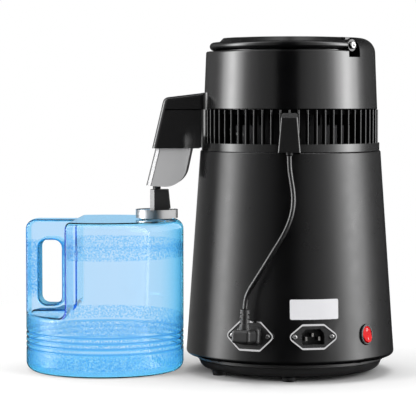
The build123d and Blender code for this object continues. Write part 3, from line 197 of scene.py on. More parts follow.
def on_shell(azimuth, height):
    """A frame on the shell: x runs round it, y up it and z out of it."""
    radius = shell_radius_at(height)
    lean = atan2(radius - shell_radius_at(height + SHELL_SLOPE_STEP), SHELL_SLOPE_STEP)
    turn = radians(azimuth)
    place = Vector((boiler_axis.x + radius * cos(turn), radius * sin(turn), height))
    out = Vector((cos(turn) * cos(lean), sin(turn) * cos(lean), sin(lean)))
    beside = Vector((-sin(turn), cos(turn), 0.0))
    turned = Matrix((beside, out.cross(beside), out)).transposed().to_4x4()
    return Matrix.Translation(place) @ turned


def full_turn(sides):
    """Evenly spaced angles round a circle, in radians."""
    return [2 * pi * side / sides for side in range(sides)]


# Shader nodes
def principled(made):
    """A material's Principled shader."""
    return made.node_tree.nodes["Principled BSDF"]


def new_material(name, **sockets):
    """A material with a Principled shader whose sockets are set by name."""
    made = bpy.data.materials.new(name)
    made.use_nodes = True
    for socket, value in sockets.items():
        words = socket.replace("_", " ").title().replace("Ior", "IOR")
        principled(made).inputs[words].default_value = value
    return made


def add_node(made, kind, **settings):
    """A new node in a material or world, with its properties set."""
    node = made.node_tree.nodes.new(kind)
    for key, value in settings.items():
        setattr(node, key, value)
    return node


def join(made, output, target):
    """A link between two sockets."""
    made.node_tree.links.new(output, target)


def noise(made, scale, detail, stretch=(1.0, 1.0, 1.0)):
    """Noise in the object's own coordinates."""
    place = add_node(made, "ShaderNodeTexCoord")
    mapping = add_node(made, "ShaderNodeMapping")
    mapping.inputs["Scale"].default_value = stretch
    texture = add_node(made, "ShaderNodeTexNoise")
    texture.inputs["Scale"].default_value = scale
    texture.inputs["Detail"].default_value = detail
    join(made, place.outputs["Object"], mapping.inputs["Vector"])
    join(made, mapping.outputs["Vector"], texture.inputs["Vector"])
    return texture.outputs["Fac"]


def spread(made, value, low, high, start=0.3, end=0.7):
    """A value mapped from one range, by default the one that noise fills, to another."""
    remap = add_node(made, "ShaderNodeMapRange")
    remap.inputs["From Min"].default_value = start
    remap.inputs["From Max"].default_value = end
    remap.inputs["To Min"].default_value = low
    remap.inputs["To Max"].default_value = high
    join(made, value, remap.inputs["Value"])
    return remap.outputs["Result"]


def number_between(made, value, first, second):
    """A number that moves between two as a value goes from 0 to 1."""
    return spread(made, value, first, second, 0.0, 1.0)


def colour_between(made, value, first, second):
    """A colour that moves between two as a value goes from 0 to 1."""
    ramp = add_node(made, "ShaderNodeValToRGB")
    ramp.color_ramp.elements[0].color = (*first, 1.0)
    ramp.color_ramp.elements[1].color = (*second, 1.0)
    join(made, value, ramp.inputs["Fac"])
    return ramp.outputs["Color"]


def tinted(made, first, second):
    """One colour times another."""
    node = add_node(made, "ShaderNodeMix", data_type="RGBA", blend_type="MULTIPLY")
    node.inputs["Factor"].default_value = 1.0
    colours = [socket for socket in node.inputs if socket.type == "RGBA"]
    join(made, first, colours[0])
    join(made, second, colours[1])
    return next(socket for socket in node.outputs if socket.type == "RGBA")


def combined(made, operation, first, second):
    """Two values put together by one math operation."""
    node = add_node(made, "ShaderNodeMath", operation=operation)
    join(made, first, node.inputs[0])
    join(made, second, node.inputs[1])
    return node.outputs["Value"]


def times(made, first, second):
    """One value times another."""
    return combined(made, "MULTIPLY", first, second)


def larger(made, first, second):
    """The larger of two values."""
    return combined(made, "MAXIMUM", first, second)


def scaled(made, value, factor):
    """A value times a fixed factor."""
    node = add_node(made, "ShaderNodeMath", operation="MULTIPLY")
    node.inputs[1].default_value = factor
    join(made, value, node.inputs[0])
    return node.outputs["Value"]


def object_place(made):
    """A point's coordinates from its object's origin, which for CAD pieces is the shared frame's."""
    place = add_node(made, "ShaderNodeTexCoord")
    split = add_node(made, "ShaderNodeSeparateXYZ")
    join(made, place.outputs["Object"], split.inputs["Vector"])
    return split.outputs


def below(made, value, limit, soft):
    """A value that is 1 below a limit and 0 above it."""
    return spread(made, value, 1.0, 0.0, limit - soft, limit + soft)


def above(made, value, limit, soft):
    """A value that is 0 below a limit and 1 above it."""
    return spread(made, value, 0.0, 1.0, limit - soft, limit + soft)


def within(made, value, low, high, soft):
    """A value that is 1 between two limits and 0 outside them."""
    return times(made, above(made, value, low, soft), below(made, value, high, soft))


def band_mask(made, bands, soft):
    """A value that is 1 inside any of the height bands and 0 outside."""
    height = object_place(made)["Z"]
    total = None
    for low, high in bands:
        inside = within(made, height, low, high, soft)
        total = larger(made, total, inside) if total else inside
    return total


def bump(made, value, strength, distance):
    """A bump on the shader's normal."""
    node = add_node(made, "ShaderNodeBump")
    node.inputs["Strength"].default_value = strength
    node.inputs["Distance"].default_value = distance
    join(made, value, node.inputs["Height"])
    join(made, node.outputs["Normal"], principled(made).inputs["Normal"])


def mixed(made, factor, first, second):
    """One shader that turns into another as a factor goes from 0 to 1."""
    mix = add_node(made, "ShaderNodeMixShader")
    join(made, factor, mix.inputs["Fac"])
    join(made, first, mix.inputs[1])
    join(made, second, mix.inputs[2])
    return mix.outputs["Shader"]


def to_surface(made, shader):
    """Makes a shader the surface of its material."""
    join(made, shader, made.node_tree.nodes["Material Output"].inputs["Surface"])


# Noise that the finishes share, as scale and detail, and the ways that brushed lines run
MOTTLE = (35.0, 3.0)
UNEVEN = (60.0, 5.0)
GRAIN_DETAIL = 2.0
GRAIN_BUMP = 0.35
BRUSH = (220.0, 6.0)
BRUSH_BUMP = 0.12
BRUSH_DEPTH = 0.05 * MM
LENGTHWISE = (1.0, 1.0, 0.02)
ROUNDWISE = (0.06, 0.06, 1.0)
ALL_WAYS = (1.0, 1.0, 1.0)

# Colours, from dark to light where there are two, and the silver's shine off and on its lines of painted
# dark reflection
WHITE = (1.0, 1.0, 1.0)
BLACK = (0.0012, 0.0012, 0.0014), (0.0020, 0.0020, 0.0023)
SOFT_BLACK = (0.0050, 0.0050, 0.0053), (0.0085, 0.0085, 0.0090)
PAN_BLACK = (0.0130, 0.0130, 0.0133), (0.0170, 0.0170, 0.0174)
# A lighter black, painted light on the spout and on the lead cover
PAINTED_LIGHT_BLACK = (0.0086, 0.0086, 0.0088), (0.0106, 0.0106, 0.0109)
SILVER = (0.42, 0.42, 0.425), (0.46, 0.46, 0.465)
SILVER_DARK_REFLECTION = (0.25, 0.25, 0.25)
SILVER_SHINE = (0.5, 0.05)

# The head's gloss, and its roughness and shine inside the vent ring, the shine from outside to inside
HEAD_MOTTLE = (0.0, 0.1)
HEAD_ROUGHNESS = (0.17, 0.21)
HEAD_GRAIN_SCALE = 1800.0
HEAD_GRAIN_DEPTH = 0.008 * MM
VENT_ROUGHNESS = 0.8
VENT_SHINE = (0.5, 0.04)

# The jug's speckle, tints, with painted shade in its grooves among them, and what its plastic takes up from
# light in its depth
JUG_SPECKLES = (1.0, 0.915, 1.0), (0.46, 0.70, 0.97)
JUG_EDGE = (0.50, 0.89, 0.995)
JUG_FOOT = (0.74, 0.92, 0.995)
JUG_GROOVE_SHADE = (0.40, 0.74, 0.95)
JUG_DEPTH_COLOUR = (0.05, 0.84, 0.986)
JUG_DENSITY = 175.0
JUG_EDGE_FACING = (0.30, 0.80)
JUG_ROUGHNESS = (0.01, 0.05)
JUG_BUMP = 0.5
SPECKLE = (480.0, 1.0)
SPECKLE_RANGE = (0.46, 0.56)
WAVES = (14.0, 2.0)
WAVES_RISE = 0.05


def grey(level):
    """A neutral colour."""
    return (level, level, level)


def grained(name, dark, light, rough, grain_scale, grain_depth, **sockets):
    """Moulded or painted surface: mottled colour, uneven gloss and a fine grain."""
    made = new_material(name, **sockets)
    shader = principled(made)
    mottle = noise(made, *MOTTLE)
    join(made, colour_between(made, mottle, dark, light), shader.inputs["Base Color"])
    uneven = noise(made, *UNEVEN)
    join(made, spread(made, uneven, *rough), shader.inputs["Roughness"])
    bump(made, noise(made, grain_scale, GRAIN_DETAIL), GRAIN_BUMP, grain_depth)
    return made


def brushed(name, dark, light, rough, stretch):
    """Bare metal with fine lines along one direction."""
    made = new_material(name, metallic=1.0)
    shader = principled(made)
    lines = noise(made, *BRUSH, stretch)
    join(made, colour_between(made, lines, dark, light), shader.inputs["Base Color"])
    join(made, spread(made, lines, *rough), shader.inputs["Roughness"])
    bump(made, lines, BRUSH_BUMP, BRUSH_DEPTH)
    return made


def vent_inside(made):
    """A value that is 1 on the inner side of the vent ring."""
    place = object_place(made)
    flat = add_node(made, "ShaderNodeCombineXYZ")
    join(made, place["X"], flat.inputs["X"])
    join(made, place["Y"], flat.inputs["Y"])
    from_axis = add_node(made, "ShaderNodeVectorMath", operation="DISTANCE")
    from_axis.inputs[1].default_value = (boiler_axis.x, 0.0, 0.0)
    join(made, flat.outputs["Vector"], from_axis.inputs[0])
    near = below(made, from_axis.outputs["Value"], VENT_INNER_REACH, VENT_INNER_SOFT)
    return times(made, near, below(made, place["Z"], VENT_INNER_HEIGHT, VENT_INNER_TOP_SOFT))


def housing_black():
    """Glossy moulded black: a shade lighter on the spout as painted light, and dull inside the vent ring.
    """
    made = new_material("head_black")
    shader = principled(made)
    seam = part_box("head_cover")[0].z
    joint = band_mask(made, [(seam - HEAD_SEAM_HALF, seam + HEAD_SEAM_HALF)], HEAD_SEAM_SOFT)
    # Painted light: the spout takes the lighter black, except along the seam, which stays dark
    spout = below(made, object_place(made)["X"], boiler_axis.x - SPOUT_REACH, SPOUT_SOFT)
    spout = times(made, spout, number_between(made, joint, 1.0, 0.0))
    mottle = spread(made, noise(made, *MOTTLE), *HEAD_MOTTLE)
    shade = larger(made, spout, mottle)
    join(made, colour_between(made, shade, BLACK[0], PAINTED_LIGHT_BLACK[1]), shader.inputs["Base Color"])
    inside = vent_inside(made)
    join(made, number_between(made, inside, *VENT_SHINE), shader.inputs["Specular IOR Level"])
    gloss = spread(made, noise(made, *UNEVEN), *HEAD_ROUGHNESS)
    dull = scaled(made, inside, VENT_ROUGHNESS)
    join(made, larger(made, gloss, dull), shader.inputs["Roughness"])
    bump(made, noise(made, HEAD_GRAIN_SCALE, GRAIN_DETAIL), GRAIN_BUMP, HEAD_GRAIN_DEPTH)
    return made


def painted_bevel_reflections(made):
    """A value that is 1 along both edges of the nozzle's front bevels, where dark reflections are painted.
    """
    low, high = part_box("nozzle_cover")
    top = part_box("vent_housing")[0].z
    place = object_place(made)
    # How far the front leans out below its top, as the lean over one metre
    lean = (NOZZLE_LOW_REACH - NOZZLE_TOP_REACH) / NOZZLE_TOE_DROP
    slope = spread(made, place["Z"], -lean, 0.0, top - 1.0, top)
    front = combined(made, "SUBTRACT", place["X"], slope)
    start = boiler_axis.x - NOZZLE_TOP_REACH
    half = NOZZLE_REFLECTION_LINE / 2
    bevel_end = start + NOZZLE_BEVEL
    outer = below(made, front, start + NOZZLE_REFLECTION_LINE, NOZZLE_REFLECTION_SOFT)
    inner = within(made, front, bevel_end - half, bevel_end + half, NOZZLE_REFLECTION_SOFT)
    beside = larger(
        made,
        below(made, place["Y"], low.y + NOZZLE_BEVEL + half, NOZZLE_REFLECTION_SOFT),
        above(made, place["Y"], high.y - NOZZLE_BEVEL - half, NOZZLE_REFLECTION_SOFT),
    )
    return times(made, larger(made, outer, inner), beside)


def silver_paint():
    """Silver paint, with dark reflections painted along the edges of the nozzle's front bevels."""
    made = grained("silver_paint", *SILVER, (0.34, 0.42), 2600.0, 0.012 * MM, metallic=0.1)
    shader = principled(made)
    # Painted reflection: dark lines where the bevels' edges would mirror dark surroundings
    lines = painted_bevel_reflections(made)
    paint = shader.inputs["Base Color"].links[0].from_socket
    shade = colour_between(made, lines, WHITE, SILVER_DARK_REFLECTION)
    join(made, tinted(made, paint, shade), shader.inputs["Base Color"])
    join(made, number_between(made, lines, *SILVER_SHINE), shader.inputs["Specular IOR Level"])
    return made


def grip_mask(made):
    """A value that is 1 on the stippled part of the jug's grip."""
    outer = below(made, object_place(made)["X"], jug_axis.x - GRIP_STIPPLE_REACH, JUG_SOFT)
    return times(made, outer, band_mask(made, [GRIP_STIPPLE], GRIP_STIPPLE_SOFT))


def ring_mask(made, heights, half):
    """A value that is 1 on level rings round the jug at some heights."""
    return band_mask(made, [(height - half, height + half) for height in heights], GROOVE_SOFT)


def bay_mask(made):
    """A value that is 1 on the walls and floors of the bays beside the jug's grip."""
    place = object_place(made)
    aside = larger(made, place["Y"], scaled(made, place["Y"], -1.0))
    beside = above(made, aside, BAY_SIDE, JUG_SOFT)
    reach = below(made, place["X"], jug_axis.x - BAY_REACH, JUG_SOFT)
    return times(made, beside, times(made, reach, above(made, place["Z"], BAY_FLOOR, JUG_SOFT)))


def jug_colour(made, bands, speckle):
    """The jug's colour: speckled bands, with a deeper blue edge on and on its foot, painted shade in its
    grooves and painted highlight lines under them.
    """
    weight = add_node(made, "ShaderNodeLayerWeight")
    weight.inputs["Blend"].default_value = 0.5
    edge = spread(made, weight.outputs["Facing"], 0.0, 1.0, *JUG_EDGE_FACING)
    # The bays' walls and floors are left without the edge tint; on their floors this leaves a pale painted
    # highlight
    edge = times(made, edge, number_between(made, bay_mask(made), 1.0, 0.0))
    # Painted shade in the grooves, and painted highlight lines a little below them, which the foot's tint
    # leaves out
    grooves = ring_mask(made, GROOVE_HEIGHTS, GROOVE_HALF)
    highlight_lines = ring_mask(made, [height - HIGHLIGHT_LINE_DROP for height in GROOVE_HEIGHTS], HIGHLIGHT_LINE_HALF)
    pale = larger(made, highlight_lines, combined(made, "SUBTRACT", bands, speckle))
    foot = below(made, object_place(made)["Z"], JUG_FOOT_HEIGHT, JUG_SOFT)
    foot = times(made, foot, number_between(made, pale, 1.0, 0.0))
    colour = colour_between(made, speckle, *JUG_SPECKLES)
    for mask, tint in ((edge, JUG_EDGE), (foot, JUG_FOOT), (grooves, JUG_GROOVE_SHADE)):
        colour = tinted(made, colour, colour_between(made, mask, WHITE, tint))
    return colour


def clear_blue():
    """Blue clear plastic with stippled bands, slightly wavy."""
    made = new_material(
        "clear_blue",
        transmission_weight=1.0,
        ior=1.14,
        coat_weight=0.4,
        coat_roughness=0.06,
    )
    shader = principled(made)
    bands = larger(made, band_mask(made, STIPPLE_BANDS, STIPPLE_SOFT), grip_mask(made))
    speckle = times(made, spread(made, noise(made, *SPECKLE), 0.0, 1.0, *SPECKLE_RANGE), bands)
    join(made, jug_colour(made, bands, speckle), shader.inputs["Base Color"])
    waves = number_between(made, noise(made, *WAVES), 0.0, WAVES_RISE)
    bump(made, combined(made, "ADD", speckle, waves), JUG_BUMP, STIPPLE_DEPTH)
    join(made, number_between(made, bands, *JUG_ROUGHNESS), shader.inputs["Roughness"])
    inside = add_node(made, "ShaderNodeVolumeAbsorption")
    inside.inputs["Color"].default_value = (*JUG_DEPTH_COLOUR, 1.0)
    inside.inputs["Density"].default_value = JUG_DENSITY
    join(made, inside.outputs["Volume"], made.node_tree.nodes["Material Output"].inputs["Volume"])
    return made


# Each finish has a name, two colours, a range of roughness, and its grain's scale and depth or its lines
materials = {
    "shell": grained("shell_black", *BLACK, (0.27, 0.33), 1500.0, 0.03 * MM, specular_ior_level=0.33),
    "head": housing_black(),
    "cap": grained(
        "cap_black", grey(0.028), grey(0.034), (0.15, 0.19), 1800.0, 0.006 * MM, specular_ior_level=0.7,
    ),
    # The lead cover's lighter black is painted light
    "cover": grained("cover_painted_light_black", *PAINTED_LIGHT_BLACK, (0.20, 0.25), 1800.0, 0.008 * MM),
    "handle": grained("handle_black", *BLACK, (0.18, 0.23), 1800.0, 0.010 * MM),
    "matte": grained("matte_black", *SOFT_BLACK, (0.42, 0.55), 1200.0, 0.03 * MM),
    "pan": grained("pan_black", *PAN_BLACK, (0.38, 0.48), 1300.0, 0.03 * MM, specular_ior_level=0.4),
    "rubber": grained("black_rubber", *SOFT_BLACK, (0.50, 0.62), 900.0, 0.04 * MM, specular_ior_level=0.3),
    "lead": grained("lead_sheath", *BLACK, (0.26, 0.34), 1100.0, 0.02 * MM),
    # Painted shade: the dark of the screws' cross recesses
    "recess_shade": grained("screw_recess_shade", *SOFT_BLACK, (0.45, 0.60), 900.0, 0.02 * MM),
    "silver": silver_paint(),
    "steel": brushed("brushed_steel", grey(0.14), grey(0.22), (0.46, 0.58), ROUNDWISE),
    "aluminium": brushed("cast_aluminium", grey(0.16), grey(0.24), (0.48, 0.60), ALL_WAYS),
    # Painted shade: darker copies of the steel and aluminium for the parts inside the head
    "shaded_steel": brushed("shaded_steel", grey(0.03), grey(0.05), (0.52, 0.62), ROUNDWISE),
    "fins": brushed("shaded_fins", (0.020, 0.020, 0.021), (0.035, 0.035, 0.036), (0.55, 0.66), ALL_WAYS),
    "contact": brushed(
        "contact_metal", (0.24, 0.235, 0.225), (0.32, 0.315, 0.30), (0.30, 0.42), LENGTHWISE,
    ),
    "screw": brushed("screw_steel", grey(0.30), grey(0.38), (0.26, 0.36), ALL_WAYS),
    "dark_screw": brushed("dark_screw", grey(0.05), grey(0.09), (0.36, 0.46), ALL_WAYS),
    "bright": brushed("bright_trim", (0.78, 0.78, 0.79), (0.86, 0.86, 0.87), (0.10, 0.16), ROUNDWISE),
    "chrome": brushed("chrome_band", (0.30, 0.30, 0.302), (0.37, 0.37, 0.372), (0.32, 0.38), ROUNDWISE),
    "silicone": grained(
        "clear_silicone", (0.60, 0.59, 0.56), (0.68, 0.67, 0.64), (0.32, 0.42), 700.0, 0.03 * MM,
        subsurface_weight=0.3, subsurface_scale=2.0 * MM,
    ),
    # Painted shade: near-black silicone for the outlet tube inside the head
    "tube": grained(
        "shaded_silicone", (0.020, 0.020, 0.019), (0.030, 0.030, 0.028), (0.42, 0.52), 700.0, 0.03 * MM,
    ),
    "filter": grained(
        "filter_white", (0.70, 0.70, 0.68), (0.80, 0.80, 0.78), (0.42, 0.55), 900.0, 0.04 * MM,
    ),
    "motor": grained("motor_paint", (0.07, 0.07, 0.08), (0.10, 0.10, 0.11), (0.34, 0.44), 900.0, 0.03 * MM),
    "red": grained(
        "switch_red", (0.56, 0.006, 0.008), (0.66, 0.010, 0.012), (0.38, 0.46), 500.0, 0.02 * MM,
        specular_ior_level=0.12,
    ),
    "blue": clear_blue(),
    "sticker": grained(
        "white_sticker", (0.66, 0.66, 0.68), (0.71, 0.71, 0.73), (0.34, 0.44), 1500.0, 0.01 * MM,
    ),
    "mark": grained("mark_white", (0.74, 0.60, 0.60), (0.82, 0.68, 0.68), (0.34, 0.44), 1500.0, 0.01 * MM),
}
finish_of = {
    "shell": ["body_shell"],
    "head": ["head_cover", "vent_housing"],
    "cap": ["jug_cap"],
    "cover": ["lead_cover"],
    "handle": ["carry_handle"],
    "matte": [
        "power_inlet", "lead_socket", "switch_bezel", "outlet_tip", "fan_rotor", "lead_plug",
        "lead_strain_relief",
    ],
    "pan": ["base_pan"],
    "rubber": ["feet", "lead_gland"],
    "lead": ["head_lead"],
    "silver": ["nozzle_cover"],
    "steel": ["boiling_tank", "steam_dish", "heater_clamp"],
    "shaded_steel": ["steam_riser", "condenser_coil", "motor_bracket"],
    "aluminium": ["heater_plate"],
    "fins": ["cooling_fins"],
    "contact": ["inlet_pins", "lead_pins", "switch_terminals", "heater_terminals", "thermostats"],
    "screw": ["socket_screws", "handle_screws"],
    "dark_screw": ["pan_screws", "foot_screws", "cover_screws", "dish_screws", "bracket_screws"],
    "bright": ["power_inlet_trim", "lead_socket_trim"],
    "chrome": ["cap_band"],
    "silicone": ["seal_ring", "cap_gasket"],
    "tube": ["outlet_tube"],
    "filter": ["carbon_filter"],
    "motor": ["fan_motor"],
    "red": ["switch_rocker"],
    "blue": ["jug_bottle"],
}
for finish, names in finish_of.items():
    for name in names:
        mesh = nodes[name].data
        mesh.materials.clear()
        mesh.materials.append(materials[finish])


# Pieces made here
def mesh_from(name, shape, material):
    """A new mesh from a bmesh, with a material."""
    mesh = bpy.data.meshes.new(name)
    shape.to_mesh(mesh)
    shape.free()
    mesh.materials.append(material)
    return mesh


def mesh_piece(name, shape, finish, smooth=True):
    """A new object from a bmesh, with a finish."""
    mesh = mesh_from(name, shape, materials[finish])
    if smooth:
        mesh.shade_smooth()
    piece = bpy.data.objects.new(name, mesh)
    scene.collection.objects.link(piece)
    return piece


def route_points(route):
    """Points along the smooth line that the route's points control."""
    curve = bpy.data.curves.new("route", "CURVE")
    curve.dimensions = "3D"
    spline = curve.splines.new("NURBS")
    spline.points.add(len(route) - 1)
    for point, place in zip(spline.points, route):
        point.co = (*place, 1.0)
    spline.order_u = 3
    spline.use_endpoint_u = True
    curve.resolution_u = LEAD_STEPS
    holder = bpy.data.objects.new("route", curve)
    scene.collection.objects.link(holder)
    line = bpy.data.meshes.new_from_object(holder)
    points = [vertex.co.copy() for vertex in line.vertices]
    bpy.data.objects.remove(holder)
    bpy.data.curves.remove(curve)
    bpy.data.meshes.remove(line)
    return points


def tube_shape(points, radius, sides):
    """A round tube along points, closed at both ends."""
    shape = bmesh.new()
    rings = []
    across = Vector((1.0, 0.0, 0.0))
    for place, point in enumerate(points):
        before = points[max(place - 1, 0)]
        after = points[min(place + 1, len(points) - 1)]
        along = (after - before).normalized()
        across = (across - along * across.dot(along)).normalized()
        beside = along.cross(across)
        spokes = [(across * cos(turn) + beside * sin(turn)) * radius for turn in full_turn(sides)]
        rings.append([shape.verts.new(point + spoke) for spoke in spokes])
    for low, high in zip(rings, rings[1:]):
        for side in range(sides):
            after = (side + 1) % sides
            shape.faces.new((low[side], low[after], high[after], high[side]))
    shape.faces.new(reversed(rings[0]))
    shape.faces.new(rings[-1])
    shape.normal_update()
    return shape


def head_lead():
    """The round black lead from the head to its plug."""
    route = [Vector(place) + Vector((boiler_axis.x, 0.0, 0.0)) for place in LEAD_ROUTE]
    points = route_points(route)
    piece = mesh_piece("lead_cord", tube_shape(points, LEAD_RADIUS, LEAD_SIDES), "lead")
    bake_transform(piece)
    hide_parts("head_lead")


def vent_shade_sheet():
    """A dark sheet below the fins that stands in for the shade inside the head, open at the outlet tube, so
    that no light shows through the vents.
    """
    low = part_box("cooling_fins")[0].z
    shape = bmesh.new()
    start, end = (radians(azimuth) for azimuth in SHADE_SHEET_AZIMUTHS)
    rows = []
    for step in range(SHADE_SHEET_STEPS + 1):
        turn = start + (end - start) * step / SHADE_SHEET_STEPS
        x = boiler_axis.x + SHADE_SHEET_RADIUS * cos(turn)
        y = SHADE_SHEET_RADIUS * sin(turn)
        rows.append([shape.verts.new((x, y, z)) for z in (low, low + SHADE_SHEET_RISE)])
    for before, after in zip(rows, rows[1:]):
        shape.faces.new((before[0], after[0], after[1], before[1]))
    piece = mesh_piece("vent_shade_sheet", shape, "fins")
    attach(piece, "head")


def blank_sticker():
    """A plain white sticker with rounded corners, bent round the shell."""
    shape = bmesh.new()
    straight = STICKER_TALL / 2 - STICKER_CORNER
    turns = [radians(90 * step / STICKER_CORNER_STEPS) for step in range(STICKER_CORNER_STEPS + 1)]
    rows = [STICKER_CORNER * (1 - cos(turn)) - STICKER_TALL / 2 for turn in turns]
    rows += [-row for row in reversed(rows)]
    grid = []
    for up in rows:
        past = max(abs(up) - straight, 0.0)
        half = STICKER_WIDTH / 2 - STICKER_CORNER + max(STICKER_CORNER**2 - past**2, 0.0) ** 0.5
        height = STICKER_HEIGHT + up
        radius = shell_radius_at(height) + STICKER_THICKNESS
        row = []
        for column in range(STICKER_COLUMNS + 1):
            turn = radians(STICKER_AZIMUTH) + (2 * column / STICKER_COLUMNS - 1) * half / radius
            row.append(shape.verts.new((boiler_axis.x + radius * cos(turn), radius * sin(turn), height)))
        grid.append(row)
    for low, high in zip(grid, grid[1:]):
        for column in range(STICKER_COLUMNS):
            shape.faces.new((low[column], low[column + 1], high[column + 1], high[column]))
    piece = mesh_piece("blank_sticker", shape, "sticker")
    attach(piece, "base")


def flat_face(shape, place, corners):
    """One face in the plane across a frame's z."""
    shape.faces.new([shape.verts.new(place @ Vector((x, y, 0.0))) for x, y in corners])


def shaded_cross(shape, place, size):
    """A dark cross painted on a screw head as the shade in its recessed cross, in the plane across a
    frame's z.
    """
    narrow = size * CROSS_WIDTH_SHARE
    for long, wide in ((size, narrow), (narrow, size)):
        flat_face(shape, place, [(-long, -wide), (long, -wide), (long, wide), (-long, wide)])


def socket_recess_shades():
    """Painted shade for the cross recesses in the screws beside both sockets."""
    shape = bmesh.new()
    for azimuth in SOCKET_AZIMUTHS:
        flat = on_shell(azimuth, SOCKET_HEIGHT)
        for side, turn in SOCKET_SCREW_TURNS.items():
            spot = Vector((side * SOCKET_SCREW_SPREAD, 0.0, SOCKET_SCREW_TOP + MARK_LIFT))
            turned = Matrix.Rotation(radians(turn), 4, "Z")
            shaded_cross(shape, flat @ Matrix.Translation(spot) @ turned, SOCKET_CROSS)
    piece = mesh_piece("socket_recess_shades", shape, "recess_shade", smooth=False)
    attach(piece, "base")


def pivot_recess_shades():
    """Painted shade for the cross recesses in the handle's pivot screws, which lift with the head."""
    shape = bmesh.new()
    heads = [point.co - boiler_axis for point in nodes["handle_screws"].data.vertices]
    for azimuth in HANDLE_SCREW_AZIMUTHS:
        turn = radians(azimuth)
        spin = Matrix.Rotation(turn, 4, "Z") @ Matrix.Rotation(pi / 2, 4, "Y")
        out = Vector((cos(turn), sin(turn), 0.0))
        spot = out * (max(place.dot(out) for place in heads) + MARK_LIFT)
        spot += Vector((boiler_axis.x, 0.0, HANDLE_SCREW_HEIGHT))
        shaded_cross(shape, Matrix.Translation(spot) @ spin, HANDLE_CROSS)
    piece = mesh_piece("pivot_recess_shades", shape, "recess_shade", smooth=False)
    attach(piece, "head")


def switch_marks():
    """The ring and bar signs on the rocker's two halves."""
    pivot = on_shell(SWITCH_AZIMUTH, SWITCH_HEIGHT) @ Matrix.Translation((0.0, 0.0, ROCKER_PIVOT_RISE))
    crown = Matrix.Translation((0.0, 0.0, ROCKER_CROWN + MARK_LIFT))
    pressed = pivot @ Matrix.Rotation(radians(-ROCKER_TILT), 4, "X") @ crown
    upper = pressed @ Matrix.Rotation(radians(ROCKER_TILT), 4, "X")
    lower = pressed @ Matrix.Rotation(radians(-ROCKER_TILT), 4, "X")
    shape = bmesh.new()
    rings = []
    for radius in RING_RADII:
        places = [(radius * cos(turn), radius * sin(turn) + RING_PLACE) for turn in full_turn(RING_SIDES)]
        rings.append([shape.verts.new(upper @ Vector((x, y, 0.0))) for x, y in places])
    inner, outer = rings
    for side in range(RING_SIDES):
        after = (side + 1) % RING_SIDES
        shape.faces.new((inner[side], outer[side], outer[after], inner[after]))
    bar = [(-BAR_HALF, BAR_LOW), (BAR_HALF, BAR_LOW), (BAR_HALF, BAR_HIGH), (-BAR_HALF, BAR_HIGH)]
    flat_face(shape, lower, bar)
    piece = mesh_piece("switch_marks", shape, "mark", smooth=False)
    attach(piece, "rocker")


head_lead()
vent_shade_sheet()
blank_sticker()
socket_recess_shades()
pivot_recess_shades()
switch_marks()

# Stage: a tent of softboxes and dark cards, with its brightness at angles round the object
TENT_RADIUS = 6.0
TENT_HEIGHT = 0.2
TENT_LEVELS = [
    (-180, 0.06), (-160, 0.09), (-145, 0.22), (-130, 0.40), (-116, 0.6), (-106, 1.6), (-97, 6.5),
    (-83, 14.5), (-69, 6.0), (-62, 2.0), (-52, 1.1), (-36, 0.62), (-20, 0.45), (-15.5, 0.0), (9.5, 0.0),
    (13, 0.5), (32, 1.0), (48, 1.8), (58, 3.6), (66, 8.0), (80, 15.0), (96, 7.5), (106, 1.8), (118, 0.6),
    (132, 0.32), (145, 0.17), (160, 0.07), (180, 0.06),
]
TENT_PEAK = max(level for _, level in TENT_LEVELS)
TENT_FOOT = (-18.0, 3.0)
TENT_HEAD = (18.0, 50.0)
TENT_CEILING = 0.4

# Cards for single reflections: on the jug's flat top, on the cap's band and on the shell's side
JUG_CARD_SPAN = (-0.120, 0.055)
JUG_CARD_BACK = 0.120
JUG_CARD_HEIGHTS = (0.160, 0.195)
JUG_CARD_COLOUR = (0.42, 0.64, 0.84)
BAND_CARD_ASIDE = 0.035
BAND_CARD_SPAN = (-0.072, 0.005)
BAND_CARD_MARGIN = 0.010
BAND_CARD_LEVEL = 1.7
SHELL_CARD_SPAN = (-0.093, 0.160)
SHELL_CARD_FADE = -0.065
SHELL_CARD_TOP = 0.260
SHELL_CARD_DROP = 0.004
SHELL_CARD_LEAN = 0.012
SHELL_CARD_LEVELS = (11.0, 0.36)

# Floor, background and lamps, each lamp with its place, size and power
FLOOR_RADIUS = 8.0
FLOOR_FADE = (0.32, 0.75)
FLOOR_LEVEL = 0.89
WORLD_LIGHT = 0.55
SOFTBOX_AIM = (0.0, 0.0, 0.15)
SOFTBOXES = {
    "left_softbox": ((-2.0, -1.4, 1.5), (1.2, 1.8), 26.0),
    "right_softbox": ((2.0, -1.2, 1.4), (1.2, 1.8), 24.0),
    "top_softbox": ((0.0, 0.3, 2.4), (2.4, 2.0), 34.0),
}


def make_camera():
    """The photograph's camera."""
    data = bpy.data.cameras.new("camera")
    data.lens = CAMERA_FOCAL_PIXELS / PHOTO_PIXELS * data.sensor_width
    data.clip_end = CAMERA_REACH
    camera = bpy.data.objects.new("camera", data)
    camera.location = Vector(CAMERA_PLACE) + Vector((boiler_axis.x, 0.0, 0.0))
    camera.rotation_euler = (pi / 2 + radians(CAMERA_TILT), 0.0, radians(-CAMERA_TURN))
    scene.collection.objects.link(camera)
    scene.camera = camera


def emission_only(name):
    """A material with an Emission shader, and that shader."""
    made = bpy.data.materials.new(name)
    made.use_nodes = True
    made.node_tree.nodes.remove(principled(made))
    glow = add_node(made, "ShaderNodeEmission")
    to_surface(made, glow.outputs["Emission"])
    return made, glow


def only_reflected(name, shape, made, place=(0.0, 0.0, 0.0)):
    """A new stage object that shows in reflections alone."""
    made.cycles.emission_sampling = "NONE"
    card = bpy.data.objects.new(name, mesh_from(name, shape, made))
    card.location = place
    scene.collection.objects.link(card)
    card.visible_camera = False
    card.visible_diffuse = False
    card.visible_transmission = False
    card.visible_volume_scatter = False
    card.visible_shadow = False


